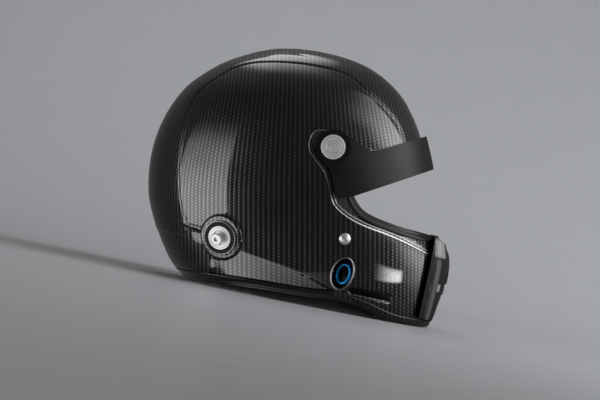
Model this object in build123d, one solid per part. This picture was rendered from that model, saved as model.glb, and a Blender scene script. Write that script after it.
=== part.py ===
from build123d import *
import math
import os

import numpy as np

# Auto racing helmet, full face, with a short peak over the eyeport. Millimetres.
# X runs forward, Y to the wearer's left and Z up from the table that the helmet stands on.
# The origin is the middle of the table face under the helmet.

# Overall sizes
OVERALL_LENGTH = 341.0
FORM_LENGTH = 335.0
FORM_WIDTH = 248.0
FORM_HEIGHT = 267.7

# Gaps between pieces, and how far cutters run past what they cut
FIT_GAP = 0.3
SNUG_GAP = 0.1
RUN_GAP = 0.05
OVERRUN = 40.0
FAR = FORM_LENGTH

# Shell
SHELL_WALL = 4.0
RECESS_DEPTH = 1.8
CHIN_REBATE = 1.8

# Edge trims
TRIM_HEIGHT = 8.5
TRIM_GRIP = 4.5
TRIM_STAND = 1.2
EYE_TRIM_OVERLAP = 3.2

# Chin vent module
MODULE_PROUD = 6.4
MODULE_SIDE_PROUD = 1.5
MODULE_FOOT = 9.6
VENT_WIDTH = 60.0
VENT_LOW = 50.0
VENT_TALL = 14.0
GRILLE_INSET = 1.6
GRILLE_THICK = 1.4
GRILLE_SLOT_WIDTH = 3.4
GRILLE_SLOT_TALL = 5.2
GRILLE_BAR = 1.6
SHUTTER_THICK = 1.6
SHUTTER_LAP = 2.0
SHUTTER_SKIRT = 8.0
SHUTTER_INSET = 0.8
SHUTTER_TRAVEL = 10.0
TAB_WIDTH = 15.0
TAB_TALL = 9.0
TAB_DROP = 12.0
TAB_PROUD = 0.8

# Peak and its pivots
PEAK_PROUD = 7.5
PEAK_SIDE_PROUD = 5.0
PEAK_THICK = 2.5
PEAK_ARM_RADIUS = 18.4
PEAK_ARM_THICK = 3.0
PEAK_HEEL_RADIUS = 7.0
PIVOT_BOSS_RADIUS = 14.0
PIVOT_BOSS_STAND = 1.6
WASHER_RADIUS = 13.0
WASHER_THICK = 1.2
BUSH_RADIUS = 5.0
PIVOT_HEAD_RADIUS = 12.7
PIVOT_HEAD_THICK = 3.3
PIVOT_SHANK_RADIUS = 3.0
PIVOT_NUT_RADIUS = 9.0
PIVOT_NUT_THICK = 4.0
COIN_ARC_RADIUS = 8.2
COIN_ARC_WIDTH = 1.6
COIN_ARC_DEPTH = 1.2
COIN_ARC_END_DEG = 40.0

# Head-restraint tether posts
POST_BOSS_RADIUS = 21.5
POST_BOSS_STAND = 2.4
POST_BOSS_TAPER_DEG = 40.0
POST_RING_RADIUS = 17.6
POST_RING_THICK = 2.2
POST_DISC_RADIUS = 12.4
POST_DISC_THICK = 3.2
POST_NECK_RADIUS = 4.0
POST_NECK_LENGTH = 6.5
POST_HEAD_RADIUS = 6.2
POST_HEAD_THICK = 3.6
POST_SOCKET_RADIUS = 2.6
POST_SOCKET_DEPTH = 2.4
POST_SHANK_RADIUS = 3.0
POST_NUT_RADIUS = 9.0
POST_NUT_THICK = 3.5

# Domed side studs
STUD_RADIUS = 6.2
STUD_DOME = 3.2
STUD_SHANK_RADIUS = 2.5
STUD_NUT_RADIUS = 6.0
STUD_NUT_THICK = 3.0

# Side ports
PORT_WIDTH = 24.0
PORT_TALL = 36.0
PORT_WALL = 1.5
PORT_STAND = 0.8
PORT_DEPTH = 15.0
PORT_RAKE_DEG = 8.0
SOCKET_RADIUS = 7.6
SOCKET_TAIL_RADIUS = 5.0
SOCKET_BORE = 6.0
SOCKET_LENGTH = 10.0
SOCKET_BORE_DEPTH = 6.0
SOCKET_MOUTH_DEPTH = 4.5
SOCKET_MOUTH_FORWARD = 0.3
JACK_RADIUS = 7.5
JACK_BORE = 3.2
JACK_BORE_DEPTH = 7.0
LOWER_SLOT_DEPTH = 1.6

# Foam liners and padding
LINER_FRONT = 34.0
LINER_SIDE = 30.0
CHEEK_LINER_THICK = 20.0
CHEEK_PAD_THICK = 24.0
CHANNEL_RADIUS = 4.0
CHANNEL_DEPTH = 1.6
CROWN_PAD_THICK = 7.0
CROWN_PAD_WIDTH = 34.0
BROW_PAD_TALL = 26.0
BROW_PAD_THICK = 8.0
CHIN_LINER_THICK = 16.0
CHIN_LINER_WIDTH = 120.0
ROLL_WIDTH = 21.0
ROLL_TALL = 21.0
ROLL_STATIONS = 11

# Chin strap
STRAP_X = 4.0
STRAP_WIDTH = 25.0
STRAP_THICK = 2.0
STRAP_REACH = 38.0
STRAP_BEND = 4.0
ANCHOR_WIDTH = 28.0
ANCHOR_TALL = 24.0
ANCHOR_THICK = 1.6
ANCHOR_LOW = 34.0
STRAP_SEWN = 10.0
RIVET_RADIUS = 3.0
RIVET_HEAD_THICK = 1.4
RING_WIRE = 3.4
RING_INNER_WIDTH = 26.0
RING_REACH = 21.0
RING_PITCH = 5.2

# Shares of the form. A height share counts from the table to the crown, a length share from
# the form's middle, where 1 is half its length, and a width share is of half its width.
FORM_MID_X = (FORM_LENGTH - OVERALL_LENGTH) / 2
WIDEST_SHARE = -0.045
FRONT_POWER = 2.25
REAR_POWER = 2.1
OUTLINE_COUNT = 28

# Height, rear end, front end and half width of the level sections, from the table up
STATION_SHARES = [
    (0.000, -0.632, 0.968, 0.798),
    (0.045, -0.722, 0.980, 0.839),
    (0.112, -0.808, 0.992, 0.883),
    (0.187, -0.883, 1.000, 0.919),
    (0.280, -0.955, 0.986, 0.960),
    (0.374, -0.990, 0.920, 0.988),
    (0.486, -1.000, 0.842, 1.000),
    (0.598, -0.974, 0.774, 0.992),
    (0.691, -0.922, 0.714, 0.952),
    (0.766, -0.853, 0.654, 0.883),
    (0.829, -0.758, 0.586, 0.786),
    (0.882, -0.656, 0.514, 0.677),
    (0.926, -0.537, 0.424, 0.548),
    (0.960, -0.423, 0.323, 0.423),
    (0.984, -0.298, 0.210, 0.286),
    (0.995, -0.190, 0.106, 0.166),
    (0.999, -0.108, 0.026, 0.075),
    (1.000, -0.060, -0.020, 0.024),
]

# Side outlines, as length and height shares
EYEPORT_SHARES = [
    (1.060, 0.350), (0.830, 0.353), (0.605, 0.360), (0.385, 0.392), (0.272, 0.480),
    (0.300, 0.580), (0.430, 0.625), (0.720, 0.650), (1.060, 0.662),
]
EYE_TRIM_SHARES = [
    (1.060, 0.347), (0.795, 0.350), (0.700, 0.358), (0.610, 0.388), (0.500, 0.402),
    (0.395, 0.426), (0.318, 0.500), (0.345, 0.565), (0.450, 0.602), (0.730, 0.630), (1.060, 0.640),
]
RECESS_LOWER_SHARES = [
    (1.147, 0.247), (0.860, 0.293), (0.633, 0.332), (0.371, 0.353), (0.219, 0.396),
    (0.183, 0.431), (0.123, 0.519), (0.046, 0.560), (-0.026, 0.601), (-0.016, 0.669),
]
RECESS_UPPER_SHARES = [
    (0.042, 0.685), (0.144, 0.684), (0.281, 0.655), (0.375, 0.634), (0.681, 0.732), (1.147, 0.880),
]
PEAK_FRONT_SHARES = [(0.375, 0.639), (0.706, 0.752), (0.799, 0.630), (0.307, 0.452)]
PEAK_HEEL_SHARE = (0.208, 0.430)
PEAK_REAR_SHARES = [(0.170, 0.502), (0.131, 0.545)]
PIVOT_SHARE = (0.130, 0.626)
STUD_SHARE = (0.318, 0.287)
PORT_SHARE = (0.347, 0.152)
POST_SHARE = (-0.436, 0.197)
LOWER_SLOT_SHARES = [(0.385, 0.098), (0.640, 0.103)]
LOWER_SLOT_TALL_SHARE = 0.034

# Rise of the bottom edge over the table, by length share
EDGE_RISE_SHARES = [
    (-1.090, 0.000), (-0.660, 0.000), (-0.450, 0.013), (-0.150, 0.028), (0.130, 0.035),
    (0.335, 0.045), (0.520, 0.032), (0.670, 0.008), (0.790, 0.000), (1.150, 0.000),
]

# Chin module: the seam's length share, then the front edge from the foot to the chin top
SEAM_SHARE = 0.899
MODULE_SHARES = [
    (0.986, 0.036), (1.002, 0.106), (1.018, 0.174), (1.034, 0.246), (1.028, 0.282),
    (1.016, 0.301), (0.963, 0.344), (0.899, 0.366),
]

# Foam outlines
CROWN_LINER_SHARES = [
    (-1.150, 0.248), (-0.395, 0.248), (-0.107, 0.418), (0.190, 0.418), (0.190, 0.650),
    (0.360, 0.690), (1.150, 0.760), (1.150, 1.100), (-1.150, 1.100),
]
CHEEK_LINER_SHARES = [
    (-0.355, 0.102), (-0.355, 0.235), (-0.095, 0.405), (0.180, 0.405), (0.250, 0.385),
    (0.350, 0.345), (0.600, 0.325), (0.600, 0.102),
]
CHEEK_PAD_SHARES = [
    (-0.340, 0.125), (-0.340, 0.205), (-0.080, 0.375), (0.170, 0.375), (0.240, 0.355),
    (0.340, 0.320), (0.540, 0.300), (0.540, 0.125),
]
CHIN_LINER_LOW_SHARE = 0.110
CHIN_LINER_HIGH_SHARE = 0.325
CROWN_PAD_LOW_SHARE = 0.520
CROWN_PAD_FRONT_SHARE = 0.300
BROW_LOW_SHARE = 0.700
ROLL_FRONT_SHARE = 0.610
CHEEK_PAD_MIDDLE_SHARE = (0.100, 0.250)

# Depth of each layer of the cheek cushion, and how far its outline is drawn in there
CHEEK_PAD_LAYER_SHARES = [(0.00, 0.90), (0.35, 1.00), (0.75, 0.96), (1.00, 0.78)]

# Half width and height of the neck roll's section, from its foot to its top
ROLL_SECTION_SHARES = [(0.55, 0.00), (0.93, 0.16), (1.00, 0.45), (0.72, 0.86), (0.00, 1.00)]

# Details of the fittings, as shares of the size that carries them
DISH_RADIUS_SHARE = 0.62
RIVET_HEIGHT_SHARE = 0.70
RIVET_SHELL_SHARE = 0.60

# The hydration and communications sockets look outwards, to the rear and slightly up
SOCKET_AIM = (-0.42, -0.90, 0.00)


def place(x_share, z_share):
    """X and Z of a place in the side view, from its shares."""
    return FORM_MID_X + x_share * FORM_LENGTH / 2, z_share * FORM_HEIGHT


def station(z_share):
    """Rear, front and half-width shares at a height share, on a smooth curve through the table."""
    rows = np.array(STATION_SHARES)
    levels = rows[:, 0]
    slopes = np.gradient(rows[:, 1:], levels, axis=0)
    low = int(np.clip(np.searchsorted(levels, z_share, side="right") - 1, 0, len(levels) - 2))
    step = levels[low + 1] - levels[low]
    t = (z_share - levels[low]) / step
    return (
        (2 * t**3 - 3 * t**2 + 1) * rows[low, 1:]
        + (t**3 - 2 * t**2 + t) * step * slopes[low]
        + (3 * t**2 - 2 * t**3) * rows[low + 1, 1:]
        + (t**3 - t**2) * step * slopes[low + 1]
    )


def outline(shares, inset, side_inset):
    """Points of a level section: two half superellipses that meet at the widest place."""
    rear, front, wide = shares
    length = FORM_LENGTH / 2 - inset
    turn = np.linspace(math.pi, 3 * math.pi, OUTLINE_COUNT, endpoint=False)
    along, across = np.cos(turn), np.sin(turn)
    power = np.where(along > 0, 2 / FRONT_POWER, 2 / REAR_POWER)
    reach = np.where(along > 0, front - WIDEST_SHARE, WIDEST_SHARE - rear)
    x = FORM_MID_X + length * (WIDEST_SHARE + reach * np.sign(along) * np.abs(along) ** power)
    y = (FORM_WIDTH / 2 - side_inset) * wide * np.sign(across) * np.abs(across) ** power
    return list(zip(x.tolist(), y.tolist()))


def level_face(shares, inset, side_inset, z):
    """One level section of the form as a face."""
    points = [(x, y, z) for x, y in outline(shares, inset, side_inset)]
    return make_face(Spline(*points, periodic=True))


def form(inset, side_inset=None):
    """The helmet's outer form drawn in by inset at the ends and crown, side_inset at the sides."""
    side = inset if side_inset is None else side_inset
    height = FORM_HEIGHT - inset
    return loft([level_face(row[1:], inset, side, row[0] * height) for row in STATION_SHARES])


def half_width(x, z, inset=0.0):
    """Half width of the form at a place in the side view."""
    rear, front, wide = station(z / (FORM_HEIGHT - inset))
    length = FORM_LENGTH / 2 - inset
    offset = x - FORM_MID_X - WIDEST_SHARE * length
    if offset > 0:
        reach, power = (front - WIDEST_SHARE) * length, FRONT_POWER
    else:
        reach, power = (WIDEST_SHARE - rear) * length, REAR_POWER
    return (FORM_WIDTH / 2 - inset) * wide * (1 - abs(offset / reach) ** power) ** (1 / power)


def right_seat(share):
    """Point on the form's right side and the outward direction there."""
    x, z = place(*share)
    step = FIT_GAP
    slope_x = (half_width(x + step, z) - half_width(x - step, z)) / (2 * step)
    slope_z = (half_width(x, z + step) - half_width(x, z - step)) / (2 * step)
    return Vector(x, -half_width(x, z), z), Vector(-slope_x, -1, -slope_z).normalized()


def side_points(shares):
    """Shares of a side outline as points on the middle plane."""
    return [(x, 0, z) for x, z in (place(*share) for share in shares)]


def across(face, half=FORM_WIDTH):
    """A side face carried across the helmet, both ways from the middle."""
    return extrude(face, amount=half, dir=(0, 1, 0), both=True)


def side_block(shares):
    """A straight-sided side outline carried across the helmet."""
    return across(make_face(Polyline(*side_points(shares), close=True)))


def open_fronted(shares, grow=0.0):
    """A side outline with a smooth rear, grown by a length and closed in front of the helmet."""
    points = np.array(side_points(shares))
    run = np.gradient(points, axis=0)
    away = np.stack([-run[:, 2], run[:, 1], run[:, 0]], axis=1)
    points = points + grow * away / np.linalg.norm(away, axis=1, keepdims=True)
    rear = Spline(*[tuple(point) for point in points.tolist()])
    return across(make_face([rear, Line(rear @ 1, rear @ 0)]))


def above_edge(lift):
    """Everything above the bottom edge's curve, lifted by a length."""
    edge = Spline(*[(x, 0, z + lift) for x, _, z in side_points(EDGE_RISE_SHARES)])
    top = FORM_HEIGHT + OVERRUN
    start, end = edge @ 0, edge @ 1
    roof = Polyline(end, (end.X, 0, top), (start.X, 0, top), start)
    return across(make_face([edge, roof]))


def rod(base, aim, radius, start, end):
    """A round bar along a direction, from start to end beyond the base point."""
    plane = Plane(origin=base + aim * start, z_dir=aim)
    return extrude(plane * Circle(radius), amount=end - start)


def ring(base, aim, radius, bore, start, end):
    """A flat ring along a direction."""
    return rod(base, aim, radius, start, end) - rod(base, aim, bore, start - OVERRUN, end + OVERRUN)


def hex_rod(base, aim, radius, start, end):
    """A six-sided bar along a direction, with its size across the corners."""
    plane = Plane(origin=base + aim * start, z_dir=aim)
    return extrude(plane * RegularPolygon(radius, 6), amount=end - start)


def block(x_low, x_high, y_low, y_high, z_low, z_high):
    """A box between its low and high sides."""
    size = (x_high - x_low, y_high - y_low, z_high - z_low)
    middle = ((x_low + x_high) / 2, (y_low + y_high) / 2, (z_low + z_high) / 2)
    return Pos(*middle) * Box(*size)


def mirrored(shape):
    """The same piece on the helmet's left side."""
    return mirror(shape, about=Plane.XZ)


def both_sides(shape):
    """A right-hand piece with its left-hand twin, as separate solids."""
    return Compound(children=[*shape.solids(), *mirrored(shape).solids()])


EYEPORT_CUT = open_fronted(EYEPORT_SHARES)
RECESS_CUT = side_block(RECESS_LOWER_SHARES + RECESS_UPPER_SHARES)
OUTSIDE = form(0.0)
INSIDE = form(SHELL_WALL)
LINER_SEAT = form(SHELL_WALL + FIT_GAP)

# Seats of the side fittings on the right side
PIVOT_X, PIVOT_Z = place(*PIVOT_SHARE)
PIVOT = Vector(PIVOT_X, 0, PIVOT_Z)
OUT = Vector(0, -1, 0)
BOSS_Y = half_width(PIVOT_X, PIVOT_Z) + PIVOT_BOSS_STAND
WASHER_Y = BOSS_Y + WASHER_THICK
ARM_Y = WASHER_Y + RUN_GAP
HEAD_Y = ARM_Y + PEAK_ARM_THICK + RUN_GAP
NUT_Y = half_width(PIVOT_X + PIVOT_NUT_RADIUS, PIVOT_Z + PIVOT_NUT_RADIUS, SHELL_WALL) - FIT_GAP
POST, POST_OUT = right_seat(POST_SHARE)
STUD, STUD_OUT = right_seat(STUD_SHARE)
PORT, PORT_OUT = right_seat(PORT_SHARE)
SEAM_X = place(SEAM_SHARE, 0)[0]
SOCKET_OUT = Vector(*SOCKET_AIM).normalized()
SOCKET_MOUTH = PORT - OUT * SOCKET_MOUTH_DEPTH + Vector(SOCKET_MOUTH_FORWARD, 0, 0)
SOCKET_FOOT = SOCKET_MOUTH - SOCKET_OUT * SOCKET_LENGTH


def port_prism(grow, y_out, y_in):
    """The port's raked oval carried in from outside the shell."""
    plane = Plane(origin=(PORT.X, -y_out, PORT.Z), z_dir=(0, 1, 0), x_dir=(1, 0, 0))
    oval = plane * Rot(0, 0, PORT_RAKE_DEG) * Ellipse(PORT_WIDTH / 2 + grow, PORT_TALL / 2 + grow)
    return extrude(oval, amount=y_out - y_in)


PORT_Y = -PORT.Y
PORT_HOLE = port_prism(FIT_GAP / 2, PORT_Y + OVERRUN, PORT_Y - PORT_DEPTH - FIT_GAP)


def lower_slot():
    """The long rounded slot pressed into the chin side, as a cutter for the right side."""
    (x_rear, z_rear), (x_front, z_front) = (place(*share) for share in LOWER_SLOT_SHARES)
    radius = LOWER_SLOT_TALL_SHARE * FORM_HEIGHT / 2
    tilt = math.degrees(math.atan2(z_front - z_rear, x_front - x_rear))
    span = math.hypot(x_front - x_rear, z_front - z_rear)
    middle = ((x_rear + x_front) / 2, 0, (z_rear + z_front) / 2)
    plane = Plane(origin=middle, z_dir=(0, -1, 0), x_dir=(1, 0, 0))
    slot = plane * Rot(0, 0, tilt) * SlotCenterToCenter(span - 2 * radius, 2 * radius)
    return extrude(slot, amount=FORM_WIDTH) - form(LOWER_SLOT_DEPTH)


def outer_shell():
    """The laminated shell with its recess, chin rebate, bosses and holes."""
    slot = lower_slot()
    shell = OUTSIDE - (RECESS_CUT - form(RECESS_DEPTH))
    rebate = block(SEAM_X, FAR, -FAR, FAR, MODULE_FOOT - FIT_GAP, FORM_HEIGHT / 2)
    shell -= rebate - form(CHIN_REBATE)
    shell -= slot
    shell -= mirrored(slot)
    boss = rod(PIVOT, OUT, PIVOT_BOSS_RADIUS, BOSS_Y - OVERRUN, BOSS_Y)
    foot = Plane(origin=POST - POST_OUT * SHELL_WALL, z_dir=POST_OUT)
    rise = POST_BOSS_STAND + SHELL_WALL
    post_boss = extrude(foot * Circle(POST_BOSS_RADIUS + SHELL_WALL), amount=rise, taper=POST_BOSS_TAPER_DEG)
    shell = shell + [boss, mirrored(boss), post_boss, mirrored(post_boss)]
    shell -= INSIDE
    shell -= EYEPORT_CUT
    shell = shell & above_edge(TRIM_HEIGHT - TRIM_GRIP)
    half = VENT_WIDTH / 2 + SHUTTER_LAP + FIT_GAP
    low = VENT_LOW - SHUTTER_SKIRT - SHUTTER_TRAVEL - FIT_GAP
    shell -= block(SEAM_X - OVERRUN / 4, FAR, -half, half, low, VENT_LOW + VENT_TALL + SHUTTER_LAP + FIT_GAP)
    holes = [
        rod(PIVOT, OUT, BUSH_RADIUS + RUN_GAP, 0, FORM_WIDTH),
        rod(POST, POST_OUT, POST_SHANK_RADIUS + RUN_GAP, -OVERRUN / 2, OVERRUN / 2),
        rod(STUD, STUD_OUT, STUD_SHANK_RADIUS + RUN_GAP, -OVERRUN / 2, OVERRUN / 2),
        PORT_HOLE,
        anchor_rivets(RUN_GAP),
    ]
    for hole in holes:
        shell -= hole
        shell -= mirrored(hole)
    return shell


def bottom_edge_trim():
    """The rubber channel that grips the shell's bottom edge all round."""
    band = above_edge(0.0) - above_edge(TRIM_HEIGHT)
    trim = (form(-TRIM_STAND) - form(SHELL_WALL + TRIM_STAND)) & band
    channel = form(-SNUG_GAP) - form(SHELL_WALL + SNUG_GAP)
    return trim - (channel & above_edge(TRIM_HEIGHT - TRIM_GRIP - SNUG_GAP))


def eye_trim_room(gap=0.0):
    """The room inside the eyeport trim's outer face and edge, widened by a gap."""
    return form(RECESS_DEPTH - TRIM_STAND - gap) & open_fronted(EYEPORT_SHARES, EYE_TRIM_OVERLAP + gap)


def eyeport_trim():
    """The rubber channel round the eyeport, with its raised inner lip."""
    trim = eye_trim_room() - open_fronted(EYE_TRIM_SHARES)
    trim -= form(SHELL_WALL + TRIM_STAND)
    shell_edge = form(RECESS_DEPTH - SNUG_GAP) - open_fronted(EYEPORT_SHARES, -SNUG_GAP)
    return trim - (shell_edge - form(SHELL_WALL + SNUG_GAP))


def chin_module():
    """The whole space of the chin module, in front of the shell's rebated chin."""
    seam = SEAM_X + FIT_GAP
    side = [(seam, 0, MODULE_FOOT), *[(max(x, seam), y, z) for x, y, z in side_points(MODULE_SHARES)]]
    body = across(make_face(Polyline(*side, close=True)))
    return (body & form(-MODULE_PROUD, -MODULE_SIDE_PROUD)) - form(CHIN_REBATE - SNUG_GAP)


def shutter_curve(inset):
    """The shutter's level curve, carried straight up so that it slides without binding."""
    level = station((VENT_LOW + VENT_TALL / 2) / FORM_HEIGHT)
    return extrude(level_face(level, inset, inset, 0.0), amount=FORM_HEIGHT)


def chin_vent_frame():
    """The moulded chin module with the vent window, the tab's slot and the shutter's pocket."""
    half = VENT_WIDTH / 2 + SHUTTER_LAP + FIT_GAP
    low = VENT_LOW - SHUTTER_SKIRT - SHUTTER_TRAVEL - FIT_GAP
    high = VENT_LOW + VENT_TALL + SHUTTER_LAP + FIT_GAP
    pocket = shutter_curve(SHUTTER_INSET - FIT_GAP) & block(SEAM_X, FAR, -half, half, low, high)
    window = block(SEAM_X, FAR, -VENT_WIDTH / 2, VENT_WIDTH / 2, VENT_LOW, VENT_LOW + VENT_TALL)
    slot_half = TAB_WIDTH / 2 + FIT_GAP
    tab_low = VENT_LOW - TAB_DROP
    slot_low = tab_low - SHUTTER_TRAVEL - FIT_GAP
    slot = block(SEAM_X, FAR, -slot_half, slot_half, slot_low, tab_low + TAB_TALL + FIT_GAP)
    return chin_module() - pocket - window - slot - eye_trim_room(SNUG_GAP)


def chin_vent_grille():
    """The slotted grille that fills the vent window."""
    skin = form(GRILLE_INSET - MODULE_PROUD) - form(GRILLE_INSET + GRILLE_THICK - MODULE_PROUD)
    half = VENT_WIDTH / 2 - SNUG_GAP
    low, high = VENT_LOW + SNUG_GAP, VENT_LOW + VENT_TALL - SNUG_GAP
    grille = skin & block(SEAM_X, FAR, -half, half, low, high)
    pitch = GRILLE_SLOT_WIDTH + GRILLE_BAR
    count = int((VENT_WIDTH - 2 * GRILLE_BAR) / pitch)
    row_gap = (VENT_TALL - 2 * GRILLE_SLOT_TALL) / 3
    slot = Box(OVERRUN, GRILLE_SLOT_WIDTH, GRILLE_SLOT_TALL)
    for row in range(2):
        z = VENT_LOW + row_gap + GRILLE_SLOT_TALL / 2 + row * (row_gap + GRILLE_SLOT_TALL)
        for column in range(count):
            y = (column - (count - 1) / 2) * pitch
            grille -= Pos(SEAM_X + OVERRUN / 2, y, z) * slot
    return grille


def chin_vent_shutter():
    """The curved shutter behind the grille, with the tab that slides it."""
    half = VENT_WIDTH / 2 + SHUTTER_LAP
    top = VENT_LOW + VENT_TALL + SHUTTER_LAP
    plate = shutter_curve(SHUTTER_INSET) - shutter_curve(SHUTTER_INSET + SHUTTER_THICK)
    plate = plate & block(SEAM_X - OVERRUN / 4, FAR, -half, half, VENT_LOW - SHUTTER_SKIRT, top)
    tab_low = VENT_LOW - TAB_DROP
    fronts = np.array(side_points(MODULE_SHARES))
    front_x = float(np.interp(tab_low + TAB_TALL / 2, fronts[:4, 2], fronts[:4, 0])) + TAB_PROUD
    back_x = FORM_MID_X + FORM_LENGTH / 2 - SHUTTER_INSET - SHUTTER_THICK
    tab = block(back_x, front_x, -TAB_WIDTH / 2, TAB_WIDTH / 2, tab_low, tab_low + TAB_TALL)
    return plate + tab


def peak():
    """The moulded peak: a curved band over the brow with a round-ended arm at each side."""
    notch, top, nose, under = side_points(PEAK_FRONT_SHARES)
    heel = side_points([PEAK_HEEL_SHARE])[0]
    rear = side_points(PEAK_REAR_SHARES)
    plate = make_face(Polyline(notch, top, nose, under, heel, *rear, (PIVOT_X, 0, PIVOT_Z), close=True))
    corner = plate.vertices().sort_by_distance(heel)[0]
    plate = fillet(corner, PEAK_HEEL_RADIUS)
    arm = make_face(Plane(origin=PIVOT, z_dir=OUT) * Circle(PEAK_ARM_RADIUS).edge())
    tangent_up = tangent_point(notch, 1)
    tangent_down = tangent_point(rear[-1], -1)
    web = make_face(Polyline(notch, tangent_up, (PIVOT_X, 0, PIVOT_Z), tangent_down, rear[-1], close=True))
    skin = form(-PEAK_PROUD, -PEAK_SIDE_PROUD) - form(PEAK_THICK - PEAK_PROUD, PEAK_THICK - PEAK_SIDE_PROUD)
    band = skin & (across(plate) + across(web) + across(arm))
    pad = rod(PIVOT, OUT, PEAK_ARM_RADIUS, ARM_Y, ARM_Y + PEAK_ARM_THICK)
    above = rod(PIVOT, OUT, PEAK_ARM_RADIUS + OVERRUN / 4, ARM_Y + PEAK_ARM_THICK, FORM_WIDTH)
    hole = rod(PIVOT, OUT, BUSH_RADIUS + RUN_GAP, 0, FORM_WIDTH)
    below = rod(PIVOT, OUT, WASHER_RADIUS + 2 * WASHER_THICK, 0, ARM_Y)
    body = (band - below - mirrored(below)) + [pad, mirrored(pad)]
    body = body - above - mirrored(above) - hole - mirrored(hole)
    return body


def tangent_point(point, side):
    """Where a line from a side-view point touches the arm's round end."""
    dx, dz = point[0] - PIVOT_X, point[2] - PIVOT_Z
    far = math.hypot(dx, dz)
    angle = math.atan2(dz, dx) + side * math.acos(PEAK_ARM_RADIUS / far)
    return PIVOT_X + PEAK_ARM_RADIUS * math.cos(angle), 0, PIVOT_Z + PEAK_ARM_RADIUS * math.sin(angle)


def pivot_screw():
    """The right pivot screw: a broad flat head with two coin arcs, and its shank."""
    head = rod(PIVOT, OUT, PIVOT_HEAD_RADIUS, HEAD_Y, HEAD_Y + PIVOT_HEAD_THICK)
    rim = head.edges().filter_by(GeomType.CIRCLE).sort_by(Axis.Y)[0]
    head = fillet(rim, COIN_ARC_DEPTH / 2)
    face_y = HEAD_Y + PIVOT_HEAD_THICK
    groove = ring(PIVOT, OUT, COIN_ARC_RADIUS, COIN_ARC_RADIUS - COIN_ARC_WIDTH,
                  face_y - COIN_ARC_DEPTH, face_y + OVERRUN)
    reach = COIN_ARC_RADIUS * math.cos(math.radians(COIN_ARC_END_DEG))
    near, far = COIN_ARC_RADIUS / 3, 2 * COIN_ARC_RADIUS
    bars = [
        block(PIVOT_X - reach, PIVOT_X + reach, -FORM_WIDTH, 0, PIVOT_Z + low, PIVOT_Z + high)
        for low, high in ((near, far), (-far, -near))
    ]
    for bar in bars:
        head -= groove & bar
    shank = rod(PIVOT, OUT, PIVOT_SHANK_RADIUS, NUT_Y - PIVOT_NUT_THICK, HEAD_Y)
    return head + shank


def pivot_bush():
    """The sleeve that the peak's arm turns on."""
    return ring(PIVOT, OUT, BUSH_RADIUS, PIVOT_SHANK_RADIUS + RUN_GAP, NUT_Y, HEAD_Y)


def pivot_washer():
    """The friction washer between shell boss and peak arm."""
    return ring(PIVOT, OUT, WASHER_RADIUS, BUSH_RADIUS + RUN_GAP, BOSS_Y, WASHER_Y)


def pivot_nut():
    """The round nut plate inside the shell."""
    return ring(PIVOT, OUT, PIVOT_NUT_RADIUS, PIVOT_SHANK_RADIUS, NUT_Y - PIVOT_NUT_THICK, NUT_Y)


def post_ring():
    """The black ring round the tether post."""
    base = POST + POST_OUT * POST_BOSS_STAND
    body = ring(base, POST_OUT, POST_RING_RADIUS, POST_DISC_RADIUS + SNUG_GAP, 0, POST_RING_THICK)
    rim = body.edges().filter_by(GeomType.CIRCLE).sort_by_distance(base + POST_OUT * OVERRUN)[:2]
    return chamfer(rim, POST_RING_THICK / 5)


def post_disc():
    """The bright dished disc under the tether post."""
    base = POST + POST_OUT * POST_BOSS_STAND
    disc = rod(base, POST_OUT, POST_DISC_RADIUS, 0, POST_DISC_THICK)
    disc -= rod(base, POST_OUT, POST_DISC_RADIUS * DISH_RADIUS_SHARE, POST_DISC_THICK / 2, OVERRUN)
    return disc - rod(base, POST_OUT, POST_SHANK_RADIUS + RUN_GAP, -OVERRUN, OVERRUN)


def tether_post():
    """The post: shank through the shell, neck, and head with a hex socket."""
    base = POST + POST_OUT * (POST_BOSS_STAND + POST_DISC_THICK / 2)
    shank_end = -POST_BOSS_STAND - POST_DISC_THICK / 2 - SHELL_WALL - FIT_GAP - POST_NUT_THICK
    shank = rod(base, POST_OUT, POST_SHANK_RADIUS, shank_end, 0)
    neck = rod(base, POST_OUT, POST_NECK_RADIUS, 0, POST_NECK_LENGTH)
    head_end = POST_NECK_LENGTH + POST_HEAD_THICK
    head = rod(base, POST_OUT, POST_HEAD_RADIUS, POST_NECK_LENGTH, head_end)
    rims = head.edges().filter_by(GeomType.CIRCLE)
    head = chamfer(rims, POST_HEAD_THICK / 5)
    head -= hex_rod(base, POST_OUT, POST_SOCKET_RADIUS, head_end - POST_SOCKET_DEPTH, head_end + OVERRUN)
    return shank + neck + head


def post_nut():
    """The nut behind the tether post, against the shell's inner face."""
    start = -SHELL_WALL - FIT_GAP - POST_NUT_THICK
    nut = hex_rod(POST, POST_OUT, POST_NUT_RADIUS, start, start + POST_NUT_THICK)
    return nut - rod(POST, POST_OUT, POST_SHANK_RADIUS + RUN_GAP, -OVERRUN, OVERRUN)


def side_stud():
    """The domed stud and its shank."""
    sphere_radius = (STUD_RADIUS**2 + STUD_DOME**2) / (2 * STUD_DOME)
    centre = STUD + STUD_OUT * (STUD_DOME - sphere_radius + SNUG_GAP)
    ball = Pos(*centre) * Sphere(sphere_radius)
    dome = ball & rod(STUD, STUD_OUT, STUD_RADIUS, SNUG_GAP, OVERRUN)
    shank_end = -SHELL_WALL - FIT_GAP - STUD_NUT_THICK
    return dome + rod(STUD, STUD_OUT, STUD_SHANK_RADIUS, shank_end, SNUG_GAP)


def stud_nut():
    """The nut behind the domed stud."""
    start = -SHELL_WALL - FIT_GAP - STUD_NUT_THICK
    nut = hex_rod(STUD, STUD_OUT, STUD_NUT_RADIUS, start, start + STUD_NUT_THICK)
    return nut - rod(STUD, STUD_OUT, STUD_SHANK_RADIUS + RUN_GAP, -OVERRUN, OVERRUN)


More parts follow.
